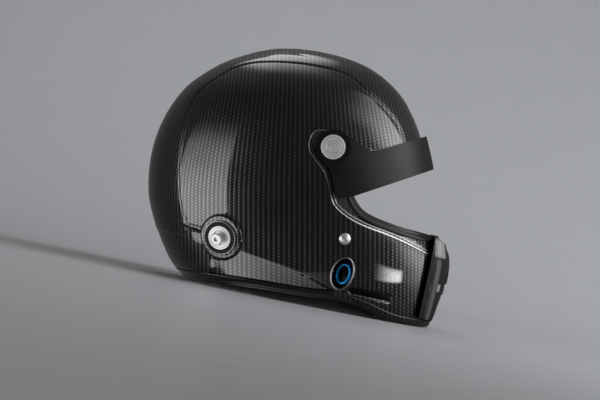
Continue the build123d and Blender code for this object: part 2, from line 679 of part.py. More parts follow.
def port_bezel():
    """The raked oval cup let into the chin side, flush with the shell but for its lip."""
    y_in = PORT_Y - PORT_DEPTH
    cup = port_prism(0.0, PORT_Y + OVERRUN, y_in)
    cup -= port_prism(-PORT_WALL, PORT_Y + OVERRUN, y_in + PORT_WALL)
    cup = cup & form(-PORT_STAND)
    return cup - rod(SOCKET_FOOT, SOCKET_OUT, SOCKET_TAIL_RADIUS, -OVERRUN, OVERRUN / 4)


def socket_body(radius):
    """A round socket aimed outwards and rearwards, kept inside the port's cup."""
    y_floor = PORT_Y - PORT_DEPTH + PORT_WALL + SNUG_GAP
    reach = port_prism(-PORT_WALL - SNUG_GAP, PORT_Y + OVERRUN, y_floor)
    return rod(SOCKET_FOOT, SOCKET_OUT, radius, -OVERRUN / 4, SOCKET_LENGTH) & reach


def hydration_socket():
    """The drink-line socket with its bore, on the right."""
    body = socket_body(SOCKET_RADIUS)
    start = SOCKET_LENGTH - SOCKET_BORE_DEPTH
    return body - rod(SOCKET_FOOT, SOCKET_OUT, SOCKET_BORE, start, OVERRUN)


def comms_socket():
    """The communications socket with its jack bore, on the left."""
    body = socket_body(JACK_RADIUS)
    start = SOCKET_LENGTH - JACK_BORE_DEPTH
    return mirrored(body - rod(SOCKET_FOOT, SOCKET_OUT, JACK_BORE, start, OVERRUN))


def crown_liner():
    """The crown's energy-absorbing liner, with pockets for the pivot nuts."""
    liner = LINER_SEAT - form(SHELL_WALL + LINER_FRONT, SHELL_WALL + LINER_SIDE)
    liner = liner & side_block(CROWN_LINER_SHARES)
    pocket = rod(PIVOT, OUT, PIVOT_NUT_RADIUS + FIT_GAP, NUT_Y - PIVOT_NUT_THICK - FIT_GAP, FORM_WIDTH)
    return liner - pocket - mirrored(pocket)


def anchor_band(inner_gap, outer_gap):
    """The strap's path down the inside of the right shell wall, as a slab between two insets."""
    slab = form(SHELL_WALL + inner_gap) - form(SHELL_WALL + outer_gap)
    half = ANCHOR_WIDTH / 2
    return slab & block(STRAP_X - half, STRAP_X + half, -FAR, 0, ANCHOR_LOW, ANCHOR_LOW + ANCHOR_TALL)


def anchor_rivets(grow=0.0):
    """The two rivets of the right strap anchor: heads flush in the shell, shanks through the plate."""
    rivets = []
    for side in (-1, 1):
        x = STRAP_X + side * ANCHOR_WIDTH / 4
        z = ANCHOR_LOW + ANCHOR_TALL * RIVET_HEIGHT_SHARE
        inner = half_width(x, z, SHELL_WALL)
        head_y = inner - FIT_GAP - ANCHOR_THICK - RIVET_HEAD_THICK
        tail_y = inner + SHELL_WALL * RIVET_SHELL_SHARE
        rivets.append(rod(Vector(x, 0, z), OUT, RIVET_RADIUS + grow, head_y, tail_y))
    return Compound(children=rivets)


def strap_anchor():
    """The steel plate that holds the strap's end to the shell."""
    plate = anchor_band(FIT_GAP, FIT_GAP + ANCHOR_THICK)
    for rivet in anchor_rivets(RUN_GAP).solids():
        plate -= rivet
    return plate


STRAP_TOP_Z = ANCHOR_LOW + STRAP_SEWN
STRAP_TOP_Y = half_width(STRAP_X, STRAP_TOP_Z, SHELL_WALL + 2 * FIT_GAP + ANCHOR_THICK) - STRAP_THICK
STRAP_PASS_Z = ROLL_TALL + 1.5 * STRAP_THICK
STRAP_PASS_Y = half_width(STRAP_X, STRAP_PASS_Z, SHELL_WALL + 2 * FIT_GAP) - 1.5 * STRAP_THICK
STRAP_DROP_Y = half_width(STRAP_X, ROLL_TALL / 4, SHELL_WALL) - ROLL_WIDTH - 3 * STRAP_THICK
STRAP_LIE_Z = STRAP_THICK / 2 + 2 * FIT_GAP


def strap_run(end_y):
    """The right half's webbing: over the neck roll, down its inner side and in along the table."""
    path = FilletPolyline(
        (0, -STRAP_TOP_Y, STRAP_TOP_Z),
        (0, -STRAP_PASS_Y, STRAP_PASS_Z),
        (0, -STRAP_DROP_Y, STRAP_PASS_Z),
        (0, -STRAP_DROP_Y, STRAP_LIE_Z),
        (0, -end_y, STRAP_LIE_Z),
        radius=STRAP_BEND,
    )
    section = Plane(origin=path @ 0, z_dir=path % 0, x_dir=(1, 0, 0)) * Rectangle(STRAP_WIDTH, STRAP_THICK)
    return Pos(STRAP_X, 0, 0) * sweep(section, path=path)


def chin_strap_right():
    """The free half of the chin strap, lying on the table with its end folded back."""
    strap = strap_run(STRAP_REACH / 3)
    half = STRAP_WIDTH / 2
    fold_y = -STRAP_REACH / 3
    top = STRAP_LIE_Z + STRAP_THICK / 2
    fold = block(STRAP_X - half, STRAP_X + half, fold_y - STRAP_REACH / 2, fold_y,
                 top - SNUG_GAP, top + STRAP_THICK)
    return strap + fold


RING_LIE_Z = STRAP_LIE_Z + STRAP_THICK / 2 + RING_WIRE / 2 + SNUG_GAP
RING_INNER_Y = STRAP_REACH
RING_OUTER_Y = STRAP_REACH + RING_PITCH


def chin_strap_left():
    """The ring half of the chin strap, with its end sewn into a loop round both ring bars."""
    strap = mirrored(strap_run(STRAP_REACH))
    half = RING_INNER_WIDTH / 2 - FIT_GAP
    reach = RING_WIRE / 2 + STRAP_THICK
    low = STRAP_LIE_Z - STRAP_THICK / 2
    high = RING_LIE_Z + reach
    loop = block(STRAP_X - half, STRAP_X + half, RING_INNER_Y - reach, RING_OUTER_Y + reach, low, high)
    loop = fillet(loop.edges().filter_by(Axis.X), STRAP_THICK)
    for y in (RING_INNER_Y, RING_OUTER_Y):
        loop -= rod(Vector(0, y, RING_LIE_Z), Vector(1, 0, 0), RING_WIRE / 2 + RUN_GAP, -FAR, FAR)
    return strap + loop


def d_ring(bar_y, side):
    """One D-ring lying flat: a straight bar in the strap's loop and a half-round bow."""
    half = RING_INNER_WIDTH / 2 + RING_WIRE / 2
    reach = RING_REACH - RING_WIRE / 2
    wire = RING_WIRE / 2
    bar = rod(Vector(STRAP_X, bar_y, RING_LIE_Z), Vector(1, 0, 0), wire, -half, half)
    corner_y = bar_y + side * (reach - half)
    left, right = (STRAP_X - half, bar_y, RING_LIE_Z), (STRAP_X + half, bar_y, RING_LIE_Z)
    path = [
        Line(left, (STRAP_X - half, corner_y, RING_LIE_Z)),
        ThreePointArc((STRAP_X - half, corner_y, RING_LIE_Z), (STRAP_X, bar_y + side * reach, RING_LIE_Z),
                      (STRAP_X + half, corner_y, RING_LIE_Z)),
        Line((STRAP_X + half, corner_y, RING_LIE_Z), right),
    ]
    section = Plane(origin=left, z_dir=(0, side, 0)) * Circle(wire)
    bow = sweep(section, path=Wire([piece.edge() for piece in path]))
    ends = [Pos(*end) * Sphere(wire) for end in (left, right)]
    return bar + bow + ends


def cheek_liner():
    """The right cheek's energy-absorbing block, cut clear of fittings and strap."""
    liner = LINER_SEAT - form(SHELL_WALL + CHEEK_LINER_THICK)
    right_half = block(-FAR, FAR, -FAR, -CHIN_LINER_WIDTH / 2 - FIT_GAP, 0, FAR)
    liner = liner & side_block(CHEEK_LINER_SHARES) & right_half
    start = -SHELL_WALL - 2 * FIT_GAP - STUD_NUT_THICK
    liner -= rod(STUD, STUD_OUT, STUD_NUT_RADIUS + FIT_GAP, start, OVERRUN)
    liner -= port_prism(2 * FIT_GAP, PORT_Y + OVERRUN, PORT_Y - PORT_DEPTH - 2 * FIT_GAP)
    liner -= rod(SOCKET_FOOT, SOCKET_OUT, SOCKET_TAIL_RADIUS + FIT_GAP, -OVERRUN / 4, 0)
    half = ANCHOR_WIDTH / 2 + FIT_GAP
    room = ANCHOR_THICK + 2 * STRAP_THICK + 4 * FIT_GAP
    channel = form(SHELL_WALL) - form(SHELL_WALL + room)
    liner -= channel & block(STRAP_X - half, STRAP_X + half, -FAR, 0, 0, ANCHOR_LOW + ANCHOR_TALL + FIT_GAP)
    return liner


def cheek_pad():
    """The right cheek cushion: a crowned face with drawn-in sides and one sewn channel."""
    seat = SHELL_WALL + CHEEK_LINER_THICK + FIT_GAP
    middle_x, middle_z = place(*CHEEK_PAD_MIDDLE_SHARE)
    back_y = half_width(middle_x, middle_z, seat)
    faces = []
    for depth_share, draw_share in CHEEK_PAD_LAYER_SHARES:
        y = back_y - depth_share * CHEEK_PAD_THICK
        points = [
            (middle_x + draw_share * (x - middle_x), -y, middle_z + draw_share * (z - middle_z))
            for x, _, z in side_points(CHEEK_PAD_SHARES)
        ]
        faces.append(make_face(Polyline(*points, close=True)))
    pad = loft(faces, ruled=False) & form(seat)
    front_y = back_y - CHEEK_PAD_THICK
    thread = Vector(middle_x, CHANNEL_RADIUS - CHANNEL_DEPTH - front_y, 0)
    return pad - rod(thread, Vector(0, 0, 1), CHANNEL_RADIUS, 0, FORM_HEIGHT)


def crown_pad():
    """The comfort pad over the head: a fore-and-aft strip and a cross strip."""
    seat_front = SHELL_WALL + LINER_FRONT + FIT_GAP
    seat_side = SHELL_WALL + LINER_SIDE + FIT_GAP
    pad = form(seat_front, seat_side) - form(seat_front + CROWN_PAD_THICK, seat_side + CROWN_PAD_THICK)
    half = CROWN_PAD_WIDTH / 2
    middle = FORM_MID_X + WIDEST_SHARE * FORM_LENGTH / 2
    level = CROWN_PAD_LOW_SHARE * FORM_HEIGHT
    front = place(CROWN_PAD_FRONT_SHARE, 0)[0]
    strips = block(-FAR, front, -half, half, level, FAR)
    strips += block(middle - half, middle + half, -FAR, FAR, level, FAR)
    return pad & strips


def brow_pad():
    """The brow pad across the forehead, above the eyeport."""
    seat_front = SHELL_WALL + LINER_FRONT + FIT_GAP
    seat_side = SHELL_WALL + LINER_SIDE + FIT_GAP
    pad = form(seat_front, seat_side) - form(seat_front + BROW_PAD_THICK, seat_side + BROW_PAD_THICK)
    low = BROW_LOW_SHARE * FORM_HEIGHT
    start = place(CROWN_PAD_FRONT_SHARE, 0)[0] + FIT_GAP
    return pad & block(start, FAR, -FAR, FAR, low, low + BROW_PAD_TALL)


def chin_liner():
    """The chin's foam block, with the vent's passage through it."""
    liner = LINER_SEAT - form(SHELL_WALL + CHIN_LINER_THICK)
    half = CHIN_LINER_WIDTH / 2
    low, high = CHIN_LINER_LOW_SHARE * FORM_HEIGHT, CHIN_LINER_HIGH_SHARE * FORM_HEIGHT
    liner = liner & block(0, FAR, -half, half, low, high)
    passage = block(0, FAR, -VENT_WIDTH / 2, VENT_WIDTH / 2, VENT_LOW, VENT_LOW + VENT_TALL)
    return liner - passage


def roll_outline(plane):
    """The neck roll's section: flat underneath, drawn-in sides and a crowned top."""
    half = ROLL_WIDTH / 2
    right = [(x_share * half, z_share * ROLL_TALL) for x_share, z_share in ROLL_SECTION_SHARES]
    left = [(-x, z) for x, z in right]
    edges = [
        Line(left[0], right[0]),
        ThreePointArc(right[0], right[1], right[2]),
        ThreePointArc(right[2], right[3], right[4]),
        ThreePointArc(right[4], left[3], left[2]),
        ThreePointArc(left[2], left[1], left[0]),
    ]
    return plane * make_face(edges)


def roll_reaches():
    """Rear, front and side reach of the roll's middle line, clear of the edge trim at each height."""
    inset = SHELL_WALL + TRIM_STAND + FIT_GAP
    length = FORM_LENGTH / 2 - inset
    reaches = []
    for half_share, tall_share in ROLL_SECTION_SHARES[:3]:
        rear, front, wide = station(tall_share * ROLL_TALL / FORM_HEIGHT)
        half = half_share * ROLL_WIDTH / 2
        side = (FORM_WIDTH / 2 - inset) * wide
        back, fore = (WIDEST_SHARE - rear) * length, (front - WIDEST_SHARE) * length
        reaches.append((back - half, fore - half, side - half))
    return np.min(reaches, axis=0).tolist()


def neck_roll():
    """The neck roll, carried round the rear of the opening from cheek to cheek."""
    rear_reach, front_reach, side_reach = roll_reaches()
    middle = FORM_MID_X + WIDEST_SHARE * FORM_LENGTH / 2
    start = math.acos((place(ROLL_FRONT_SHARE, 0)[0] - middle) / front_reach)
    sections = []
    for turn in np.linspace(start, 2 * math.pi - start, ROLL_STATIONS).tolist():
        reach = front_reach if math.cos(turn) > 0 else rear_reach
        middle_point = (middle + reach * math.cos(turn), side_reach * math.sin(turn), 0)
        along = Vector(-reach * math.sin(turn), side_reach * math.cos(turn), 0)
        plane = Plane(origin=middle_point, z_dir=along, x_dir=Vector(0, 0, 1).cross(along))
        sections.append(roll_outline(plane))
    return loft(sections, ruled=False)


def pieces():
    """Every sub-part by its node name."""
    right = {
        "pivot_screw": pivot_screw(), "pivot_bush": pivot_bush(),
        "post_ring": post_ring(), "post_disc": post_disc(), "tether_post": tether_post(),
        "side_stud": side_stud(), "port_bezel": port_bezel(), "strap_anchor": strap_anchor(),
        "cheek_liner": cheek_liner(), "cheek_pad": cheek_pad(),
    }
    made = {
        "outer_shell": outer_shell(), "bottom_edge_trim": bottom_edge_trim(), "eyeport_trim": eyeport_trim(),
        "chin_vent_frame": chin_vent_frame(), "chin_vent_grille": chin_vent_grille(),
        "chin_vent_shutter": chin_vent_shutter(), "peak": peak(),
        "pivot_washers": both_sides(pivot_washer()), "pivot_nuts": both_sides(pivot_nut()),
        "post_nuts": both_sides(post_nut()), "stud_nuts": both_sides(stud_nut()),
        "hydration_socket": hydration_socket(), "comms_socket": comms_socket(),
        "crown_liner": crown_liner(), "chin_liner": chin_liner(), "crown_pad": crown_pad(),
        "brow_pad": brow_pad(), "neck_roll": neck_roll(),
        "anchor_rivets": both_sides(anchor_rivets()),
        "chin_strap_right": chin_strap_right(), "chin_strap_left": chin_strap_left(),
        "d_ring_inner": d_ring(RING_INNER_Y, -1), "d_ring_outer": d_ring(RING_OUTER_Y, 1),
    }
    for name, shape in right.items():
        made[name + "_right"] = shape
        made[name + "_left"] = mirrored(shape)
    return made


os.makedirs("parts", exist_ok=True)
for node, shape in pieces().items():
    export_step(shape, f"parts/{node}.step")
    print(node, len(shape.solids()), round(shape.volume))
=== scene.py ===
"""Looks of an auto racing helmet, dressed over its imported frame. Metres: X forward, Y left, Z up."""
import logging
import math
from dataclasses import dataclass
from enum import Enum
from functools import cache
from typing import Callable, Optional

import bmesh
import bpy
import numpy as np
from mathutils import Matrix, Vector


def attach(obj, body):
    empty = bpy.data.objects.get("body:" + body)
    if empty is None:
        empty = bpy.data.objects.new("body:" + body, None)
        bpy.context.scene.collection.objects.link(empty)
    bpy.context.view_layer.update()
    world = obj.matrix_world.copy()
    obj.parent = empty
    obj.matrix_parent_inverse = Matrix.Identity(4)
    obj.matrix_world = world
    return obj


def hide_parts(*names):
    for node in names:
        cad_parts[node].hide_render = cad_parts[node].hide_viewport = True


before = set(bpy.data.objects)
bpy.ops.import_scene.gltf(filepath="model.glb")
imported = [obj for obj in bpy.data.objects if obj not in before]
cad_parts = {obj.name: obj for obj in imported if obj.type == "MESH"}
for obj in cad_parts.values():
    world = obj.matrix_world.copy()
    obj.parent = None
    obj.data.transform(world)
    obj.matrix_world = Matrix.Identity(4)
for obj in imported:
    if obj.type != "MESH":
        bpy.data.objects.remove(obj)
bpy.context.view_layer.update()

LOG = logging.getLogger("helmet")
Field = Callable[[np.ndarray], np.ndarray]
Three = tuple[np.ndarray, np.ndarray, np.ndarray]

# Height, rear end, front end and half width of the form's level sections, as shares
STATION_SHARES = np.array([
    (0.000, -0.632, 0.968, 0.798), (0.045, -0.722, 0.980, 0.839), (0.112, -0.808, 0.992, 0.883),
    (0.187, -0.883, 1.000, 0.919), (0.280, -0.955, 0.986, 0.960), (0.374, -0.990, 0.920, 0.988),
    (0.486, -1.000, 0.842, 1.000), (0.598, -0.974, 0.774, 0.992), (0.691, -0.922, 0.714, 0.952),
    (0.766, -0.853, 0.654, 0.883), (0.829, -0.758, 0.586, 0.786), (0.882, -0.656, 0.514, 0.677),
    (0.926, -0.537, 0.424, 0.548), (0.960, -0.423, 0.323, 0.423), (0.984, -0.298, 0.210, 0.286),
    (0.995, -0.190, 0.106, 0.166), (0.999, -0.108, 0.026, 0.075), (1.000, -0.060, -0.020, 0.024),
])

# Side outlines, as length and height shares of the form
EDGE_RISE_SHARES = [
    (-1.090, 0.000), (-0.660, 0.000), (-0.450, 0.013), (-0.150, 0.028), (0.130, 0.035),
    (0.335, 0.045), (0.520, 0.032), (0.670, 0.008), (0.790, 0.000), (1.150, 0.000),
]
EYEPORT_SHARES = [
    (1.060, 0.350), (0.830, 0.353), (0.605, 0.360), (0.385, 0.392), (0.272, 0.480),
    (0.300, 0.580), (0.430, 0.625), (0.720, 0.650), (1.060, 0.662),
]
RECESS_SHARES = [
    (1.300, 0.222), (0.860, 0.293), (0.633, 0.332), (0.371, 0.353), (0.219, 0.396),
    (0.183, 0.431), (0.123, 0.519), (0.046, 0.560), (-0.026, 0.601), (-0.016, 0.669),
    (0.042, 0.685), (0.144, 0.684), (0.281, 0.655), (0.375, 0.634), (0.681, 0.732), (1.300, 0.930),
]
SPINE_SHARES = [
    (-1.300, 0.170), (-0.640, 0.165), (-0.672, 0.215), (-0.735, 0.320), (-0.780, 0.432), (-0.797, 0.520),
    (-0.802, 0.600), (-0.797, 0.672), (-0.766, 0.736), (-0.671, 0.804), (-0.563, 0.864),
    (-0.439, 0.898), (-0.178, 0.926), (0.111, 0.926), (0.212, 0.892), (0.352, 0.840), (0.428, 0.806),
    (0.497, 0.772), (0.546, 0.720), (0.590, 0.640), (0.620, 0.560), (1.300, 0.560),
    (1.300, 1.300), (-1.300, 1.300),
]
TUCK_SHARES = [
    (-0.400, 0.150), (-0.331, 0.163), (-0.271, 0.155), (-0.005, 0.134), (0.273, 0.099), (0.350, 0.060),
    (0.350, -0.300), (-0.620, -0.300), (-0.448, 0.056), (-0.490, 0.100),
]
SLOT_SHARES = ((0.400, 0.093), (0.690, 0.090))
SLOT_TALL_SHARE = 0.034
WING_SHARES = ((-0.430, 0.200), (-0.745, 0.222))
PIVOT_SHARE = (0.130, 0.626)
POST_SHARE = (-0.436, 0.197)
PORT_SHARE = (0.347, 0.152)
SEAM_SHARE = 0.878
MODULE_SHARES = [
    (0.986, 0.036), (1.002, 0.106), (1.018, 0.174), (1.034, 0.246),
    (1.028, 0.282), (1.016, 0.301), (0.963, 0.344), (0.878, 0.372),
]
STUD_SHARE = (0.318, 0.287)

# Turned sections, as length along the axis, half width and half height, in metres
SOCKET_SECTION = 0.001 * np.array([
    (-9.8, 0, 0), (-9.8, 8.5, 12.0), (-3, 8.2, 11.6), (-1.0, 8.0, 11.3), (-0.45, 7.85, 11.1),
    (-0.1, 7.5, 10.7), (0, 7.1, 10.2), (-0.05, 6.7, 9.7), (-0.35, 6.35, 9.25), (-0.9, 6.15, 8.95),
    (-3, 6.05, 8.7), (-6.2, 6.0, 8.5), (-6.2, 0, 0),
])
VALVE_SECTION = 0.001 * np.array([
    (-6.15, 5.95, 8.4), (-5.2, 5.9, 8.3), (-5.0, 5.4, 7.8), (-5.0, 2.6, 3.2), (-3.4, 2.3, 2.6),
    (-3.2, 1.9, 2.1), (-3.2, 0, 0),
])

# The eye seal's section, as sizes along the form and out of it, in metres
SEAL_SECTION = np.array([
    (-0.0058, -0.0046), (-0.0052, -0.0062), (0.0012, -0.0062), (0.0030, -0.0048), (0.0034, -0.0026),
    (0.0035, -0.0015), (0.0026, -0.0009), (0.0012, -0.0008), (-0.0004, -0.0012), (-0.0018, -0.0020),
    (-0.0030, -0.0022), (-0.0046, -0.0026), (-0.0058, -0.0032),
])

# Radius and half width of the rings cut into the turned heads, each painted with shade, in metres
SCREW_GROOVES = ((0.0017, 0.0006), (0.0040, 0.0005), (0.0058, 0.0004), (0.0102, 0.0005))
DISC_GROOVES = ((0.0078, 0.0004), (0.0108, 0.0004))


class Side(Enum):
    """The wearer's side that a fitting is on."""

    RIGHT = -1
    LEFT = 1


def unit(vectors: np.ndarray, least: float = 0.0) -> np.ndarray:
    """Vectors brought to length one, each divided by its length or the least one."""
    return vectors / np.maximum(np.linalg.norm(vectors, axis=-1, keepdims=True), least)


@dataclass(frozen=True)
class Form:
    """The helmet's outer form: level sections of two half superellipses, stacked on a smooth curve."""

    length: float = 0.335
    width: float = 0.248
    height: float = 0.2677
    middle_x: float = -0.003
    widest_share: float = -0.045
    front_power: float = 2.25
    rear_power: float = 2.1

    def level(self, z_share: np.ndarray) -> np.ndarray:
        """Reads the section table at height shares on a cubic Hermite curve.

        Args:
            z_share: Heights as shares of the form's height.

        Returns:
            Rear, front and half-width shares, in a last axis of three.
        """
        levels, rows = STATION_SHARES[:, 0], STATION_SHARES[:, 1:]
        slopes = np.gradient(rows, levels, axis=0)
        low = np.clip(np.searchsorted(levels, z_share, side="right") - 1, 0, len(levels) - 2)
        step = (levels[low + 1] - levels[low])[..., None]
        t = np.clip((z_share - levels[low])[..., None] / step, 0, 1)
        start, end = 2 * t**3 - 3 * t**2 + 1, 3 * t**2 - 2 * t**3
        leave, arrive = (t**3 - 2 * t**2 + t) * step, (t**3 - t**2) * step
        return start * rows[low] + leave * slopes[low] + end * rows[low + 1] + arrive * slopes[low + 1]

    def points(self, turn: np.ndarray, z: np.ndarray, inset: float = 0.0) -> np.ndarray:
        """Points of the form at turns from the front and heights.

        Each coordinate is its reach times the cosine or sine of the turn, raised to two over the
        superellipse's power.

        Args:
            turn: Angle about the upright axis, 0 at the front.
            z: Height above the table.
            inset: How far the form is drawn in.

        Returns:
            Points in a last axis of three.
        """
        turn, z = np.broadcast_arrays(turn, z)
        rear, front, wide = np.moveaxis(self.level(z / (self.height - inset)), -1, 0)
        along, across = np.cos(turn), np.sin(turn)
        power = np.where(along > 0, 2 / self.front_power, 2 / self.rear_power)
        reach = np.where(along > 0, front - self.widest_share, self.widest_share - rear)
        x_share = self.widest_share + reach * np.sign(along) * np.abs(along) ** power
        x = self.middle_x + (self.length / 2 - inset) * x_share
        y = (self.width / 2 - inset) * wide * np.sign(across) * np.abs(across) ** power
        return np.stack([x, y, z], axis=-1)

    def section_at(self, x: np.ndarray, z: np.ndarray, inset: float) -> Three:
        """The section through side-view places.

        Args:
            x: Lengths.
            z: Heights.
            inset: How far the form is drawn in.

        Returns:
            How far along its reach each place lies, the superellipse's power and its half width.
        """
        rear, front, wide = np.moveaxis(self.level(np.asarray(z) / (self.height - inset)), -1, 0)
        length = self.length / 2 - inset
        offset = x - self.middle_x - self.widest_share * length
        ahead = offset > 0
        reach = np.where(ahead, front - self.widest_share, self.widest_share - rear) * length
        power = np.where(ahead, self.front_power, self.rear_power)
        return np.abs(offset / reach), power, (self.width / 2 - inset) * wide

    def excess(self, p: np.ndarray, inset: float = 0.0) -> np.ndarray:
        """How far points stand out of the form, as a share of the section's radius there."""
        along, power, half = self.section_at(p[..., 0], p[..., 2], inset)
        side = np.abs(p[..., 1]) / half
        return (along**power + side**power) ** (1 / power) - 1

    def gradient(self, p: np.ndarray, read: Optional[Field] = None, step: float = 1e-4) -> np.ndarray:
        """Central differences of a field, or of the form's own excess, along X, Y and Z."""
        read = read or self.excess
        moves = np.eye(3) * step
        return np.stack([(read(p + m) - read(p - m)) / (2 * step) for m in moves], axis=-1)

    def normal(self, p: np.ndarray) -> np.ndarray:
        """Outward unit normals at points on or near the form."""
        return unit(self.gradient(p))

    def seated(self, p: np.ndarray, inset: float = 0.0, rounds: int = 3) -> np.ndarray:
        """Points brought onto the form by Newton steps along its gradient."""
        for _ in range(rounds):
            slope = self.gradient(p, lambda q: self.excess(q, inset))
            p = p - slope * (self.excess(p, inset) / (slope**2).sum(-1))[..., None]
        return p

    def half_width(self, x: np.ndarray, z: np.ndarray, inset: float = 0.0) -> np.ndarray:
        """Half width at places in the side view, zero outside the silhouette."""
        along, power, half = self.section_at(x, z, inset)
        return half * np.clip(1 - along**power, 0, None) ** (1 / power)

    def place(self, shares: np.ndarray) -> np.ndarray:
        """Side-view places, X and Z, of length and height shares."""
        shares = np.asarray(shares, float)
        x = self.middle_x + shares[..., 0] * self.length / 2
        return np.stack([x, shares[..., 1] * self.height], axis=-1)

    def side_seat(self, share: tuple[float, float], side: Side) -> tuple[np.ndarray, np.ndarray]:
        """A point on the form's side and the outward normal there."""
        x, z = self.place(share)
        point = np.array([x, side.value * float(self.half_width(x, z)), z])
        return point, self.normal(point)


FORM = Form()


def smooth_line(points: np.ndarray, count: int, closed: bool = False) -> np.ndarray:
    """A Catmull-Rom curve through points, evenly divided between each two.

    Args:
        points: Points to pass through.
        count: Divisions of each stretch.
        closed: Whether the last point joins the first.

    Returns:
        The curve's points.
    """
    p = np.asarray(points, float)
    if closed:
        before, after, far = np.roll(p, 1, 0), np.roll(p, -1, 0), np.roll(p, -2, 0)
    else:
        ends = np.vstack([2 * p[0] - p[1], p, 2 * p[-1] - p[-2]])
        before, p, after, far = ends[:-3], ends[1:-2], ends[2:-1], ends[3:]
    t = (np.arange(count) / count)[None, :, None]
    before, p, after, far = (q[:, None, :] for q in (before, p, after, far))
    curve = 0.5 * (
        2 * p + (after - before) * t + (2 * before - 5 * p + 4 * after - far) * t**2
        + (3 * p - before - 3 * after + far) * t**3
    )
    curve = curve.reshape(-1, curve.shape[-1])
    return curve if closed else np.vstack([curve, after[-1, 0]])


def rounded(points: np.ndarray, rounds: int = 2) -> np.ndarray:
    """A closed outline with its corners cut twice at a quarter of each side."""
    for _ in range(rounds):
        after = np.roll(points, -1, 0)
        points = np.stack([0.75 * points + 0.25 * after, 0.25 * points + 0.75 * after], 1).reshape(-1, 2)
    return points


def inside_by(outline: np.ndarray) -> Field:
    """The side-view distance inside a closed outline, negative outside it.

    Args:
        outline: X and Z of the outline's corners.

    Returns:
        A field of that distance: the least distance to a side, signed by an even-odd count.
    """
    a, b = outline, np.roll(outline, -1, 0)

    def read(p: np.ndarray) -> np.ndarray:
        q = p[..., None, [0, 2]]
        run = b - a
        t = np.clip(((q - a) * run).sum(-1) / np.maximum((run**2).sum(-1), 1e-12), 0, 1)
        near = np.linalg.norm(q - a - t[..., None] * run, axis=-1).min(-1)
        crosses = (a[:, 1] > q[..., 1]) != (b[:, 1] > q[..., 1])
        rise = np.where(np.abs(run[:, 1]) < 1e-12, 1e-12, run[:, 1])
        meets = a[:, 0] + (q[..., 1] - a[:, 1]) * run[:, 0] / rise
        odd = (crosses & (q[..., 0] < meets)).sum(-1) % 2 == 1
        return np.where(odd, near, -near)

    return read


def capsule(start: np.ndarray, end: np.ndarray, r_start: float, r_end: float) -> Field:
    """The side-view distance inside a straight bar with round ends of two radii."""
    run = end - start

    def read(p: np.ndarray) -> np.ndarray:
        q = p[..., [0, 2]] - start
        t = np.clip(q @ run / (run @ run), 0, 1)
        return r_start + (r_end - r_start) * t - np.linalg.norm(q - t[..., None] * run, axis=-1)

    return read


def lengths_along(points: np.ndarray) -> np.ndarray:
    """The length of a line of points up to each of them."""
    return np.concatenate([[0], np.linalg.norm(np.diff(points, axis=0), axis=1).cumsum()])


def ramp(distance: np.ndarray, width: float) -> np.ndarray:
    """A straight slope from 0 to 1 over a width."""
    return np.clip(distance / width, 0, 1)


def ease(distance: np.ndarray, width: float) -> np.ndarray:
    """A slope from 0 to 1 over a width, level at both ends."""
    t = ramp(distance, width)
    return t * t * (3 - 2 * t)


def grid_faces(rows: int, columns: int, closed: bool) -> np.ndarray:
    """Quads of a grid whose points run along columns first, outward where row cross column is.

    Args:
        rows: Points across.
        columns: Points along each row.
        closed: Whether the last row joins the first.

    Returns:
        Four point numbers for each quad.
    """
    i = np.arange(rows if closed else rows - 1)[:, None]
    j = np.arange(columns - 1)[None, :]
    low, high = i * columns + j, (i + 1) % rows * columns + j
    return np.stack([low, high, high + 1, low + 1], -1).reshape(-1, 4)


def rim_quads(faces: np.ndarray, count: int) -> np.ndarray:
    """Joins the open edges of a sheet to those of its copy inside.

    Args:
        faces: The sheet's faces.
        count: Points of the sheet, after which its copy's are numbered.

    Returns:
        Four point numbers for each quad.
    """
    corners = faces.shape[1]
    sides = faces[:, [[i, (i + 1) % corners] for i in range(corners)]].reshape(-1, 2)
    key = np.sort(sides, axis=1) @ np.array([count, 1])
    _, where, times = np.unique(key, return_inverse=True, return_counts=True)
    rim = sides[times[where] == 1]
    return np.stack([rim[:, 1], rim[:, 0], rim[:, 0] + count, rim[:, 1] + count], 1)


def make_piece(name: str, points: np.ndarray, faces: list, uv: Optional[np.ndarray] = None,
               sharp_deg: float = 30.0) -> bpy.types.Object:
    """Makes an object of points and faces, with unused points dropped.

    Args:
        name: The piece's name.
        points: Its points.
        faces: Its faces' point numbers.
        uv: Two pattern coordinates for each point, in metres.
        sharp_deg: Edges that turn more than this are shaded sharp.

    Returns:
        The new object, at the origin.
    """
    mixed = isinstance(faces, list)
    used = np.unique(np.concatenate([np.ravel(f) for f in faces]) if mixed else faces)
    new = np.full(len(points), -1)
    new[used] = np.arange(len(used))
    listed = [new[np.asarray(f)].tolist() for f in faces] if mixed else new[faces].tolist()
    mesh = bpy.data.meshes.new(name)
    mesh.from_pydata(points[used].tolist(), [], listed)
    if uv is not None:
        layer = mesh.uv_layers.new(name="weave")
        corner = np.zeros(len(mesh.loops), np.int32)
        mesh.loops.foreach_get("vertex_index", corner)
        layer.data.foreach_set("uv", uv[used][corner].astype(np.float32).ravel())
    mesh.validate()
    mesh.polygons.foreach_set("use_smooth", np.ones(len(mesh.polygons), bool))
    mesh.set_sharp_from_angle(angle=math.radians(sharp_deg))
    piece = bpy.data.objects.new(name, mesh)
    bpy.context.scene.collection.objects.link(piece)
    return piece


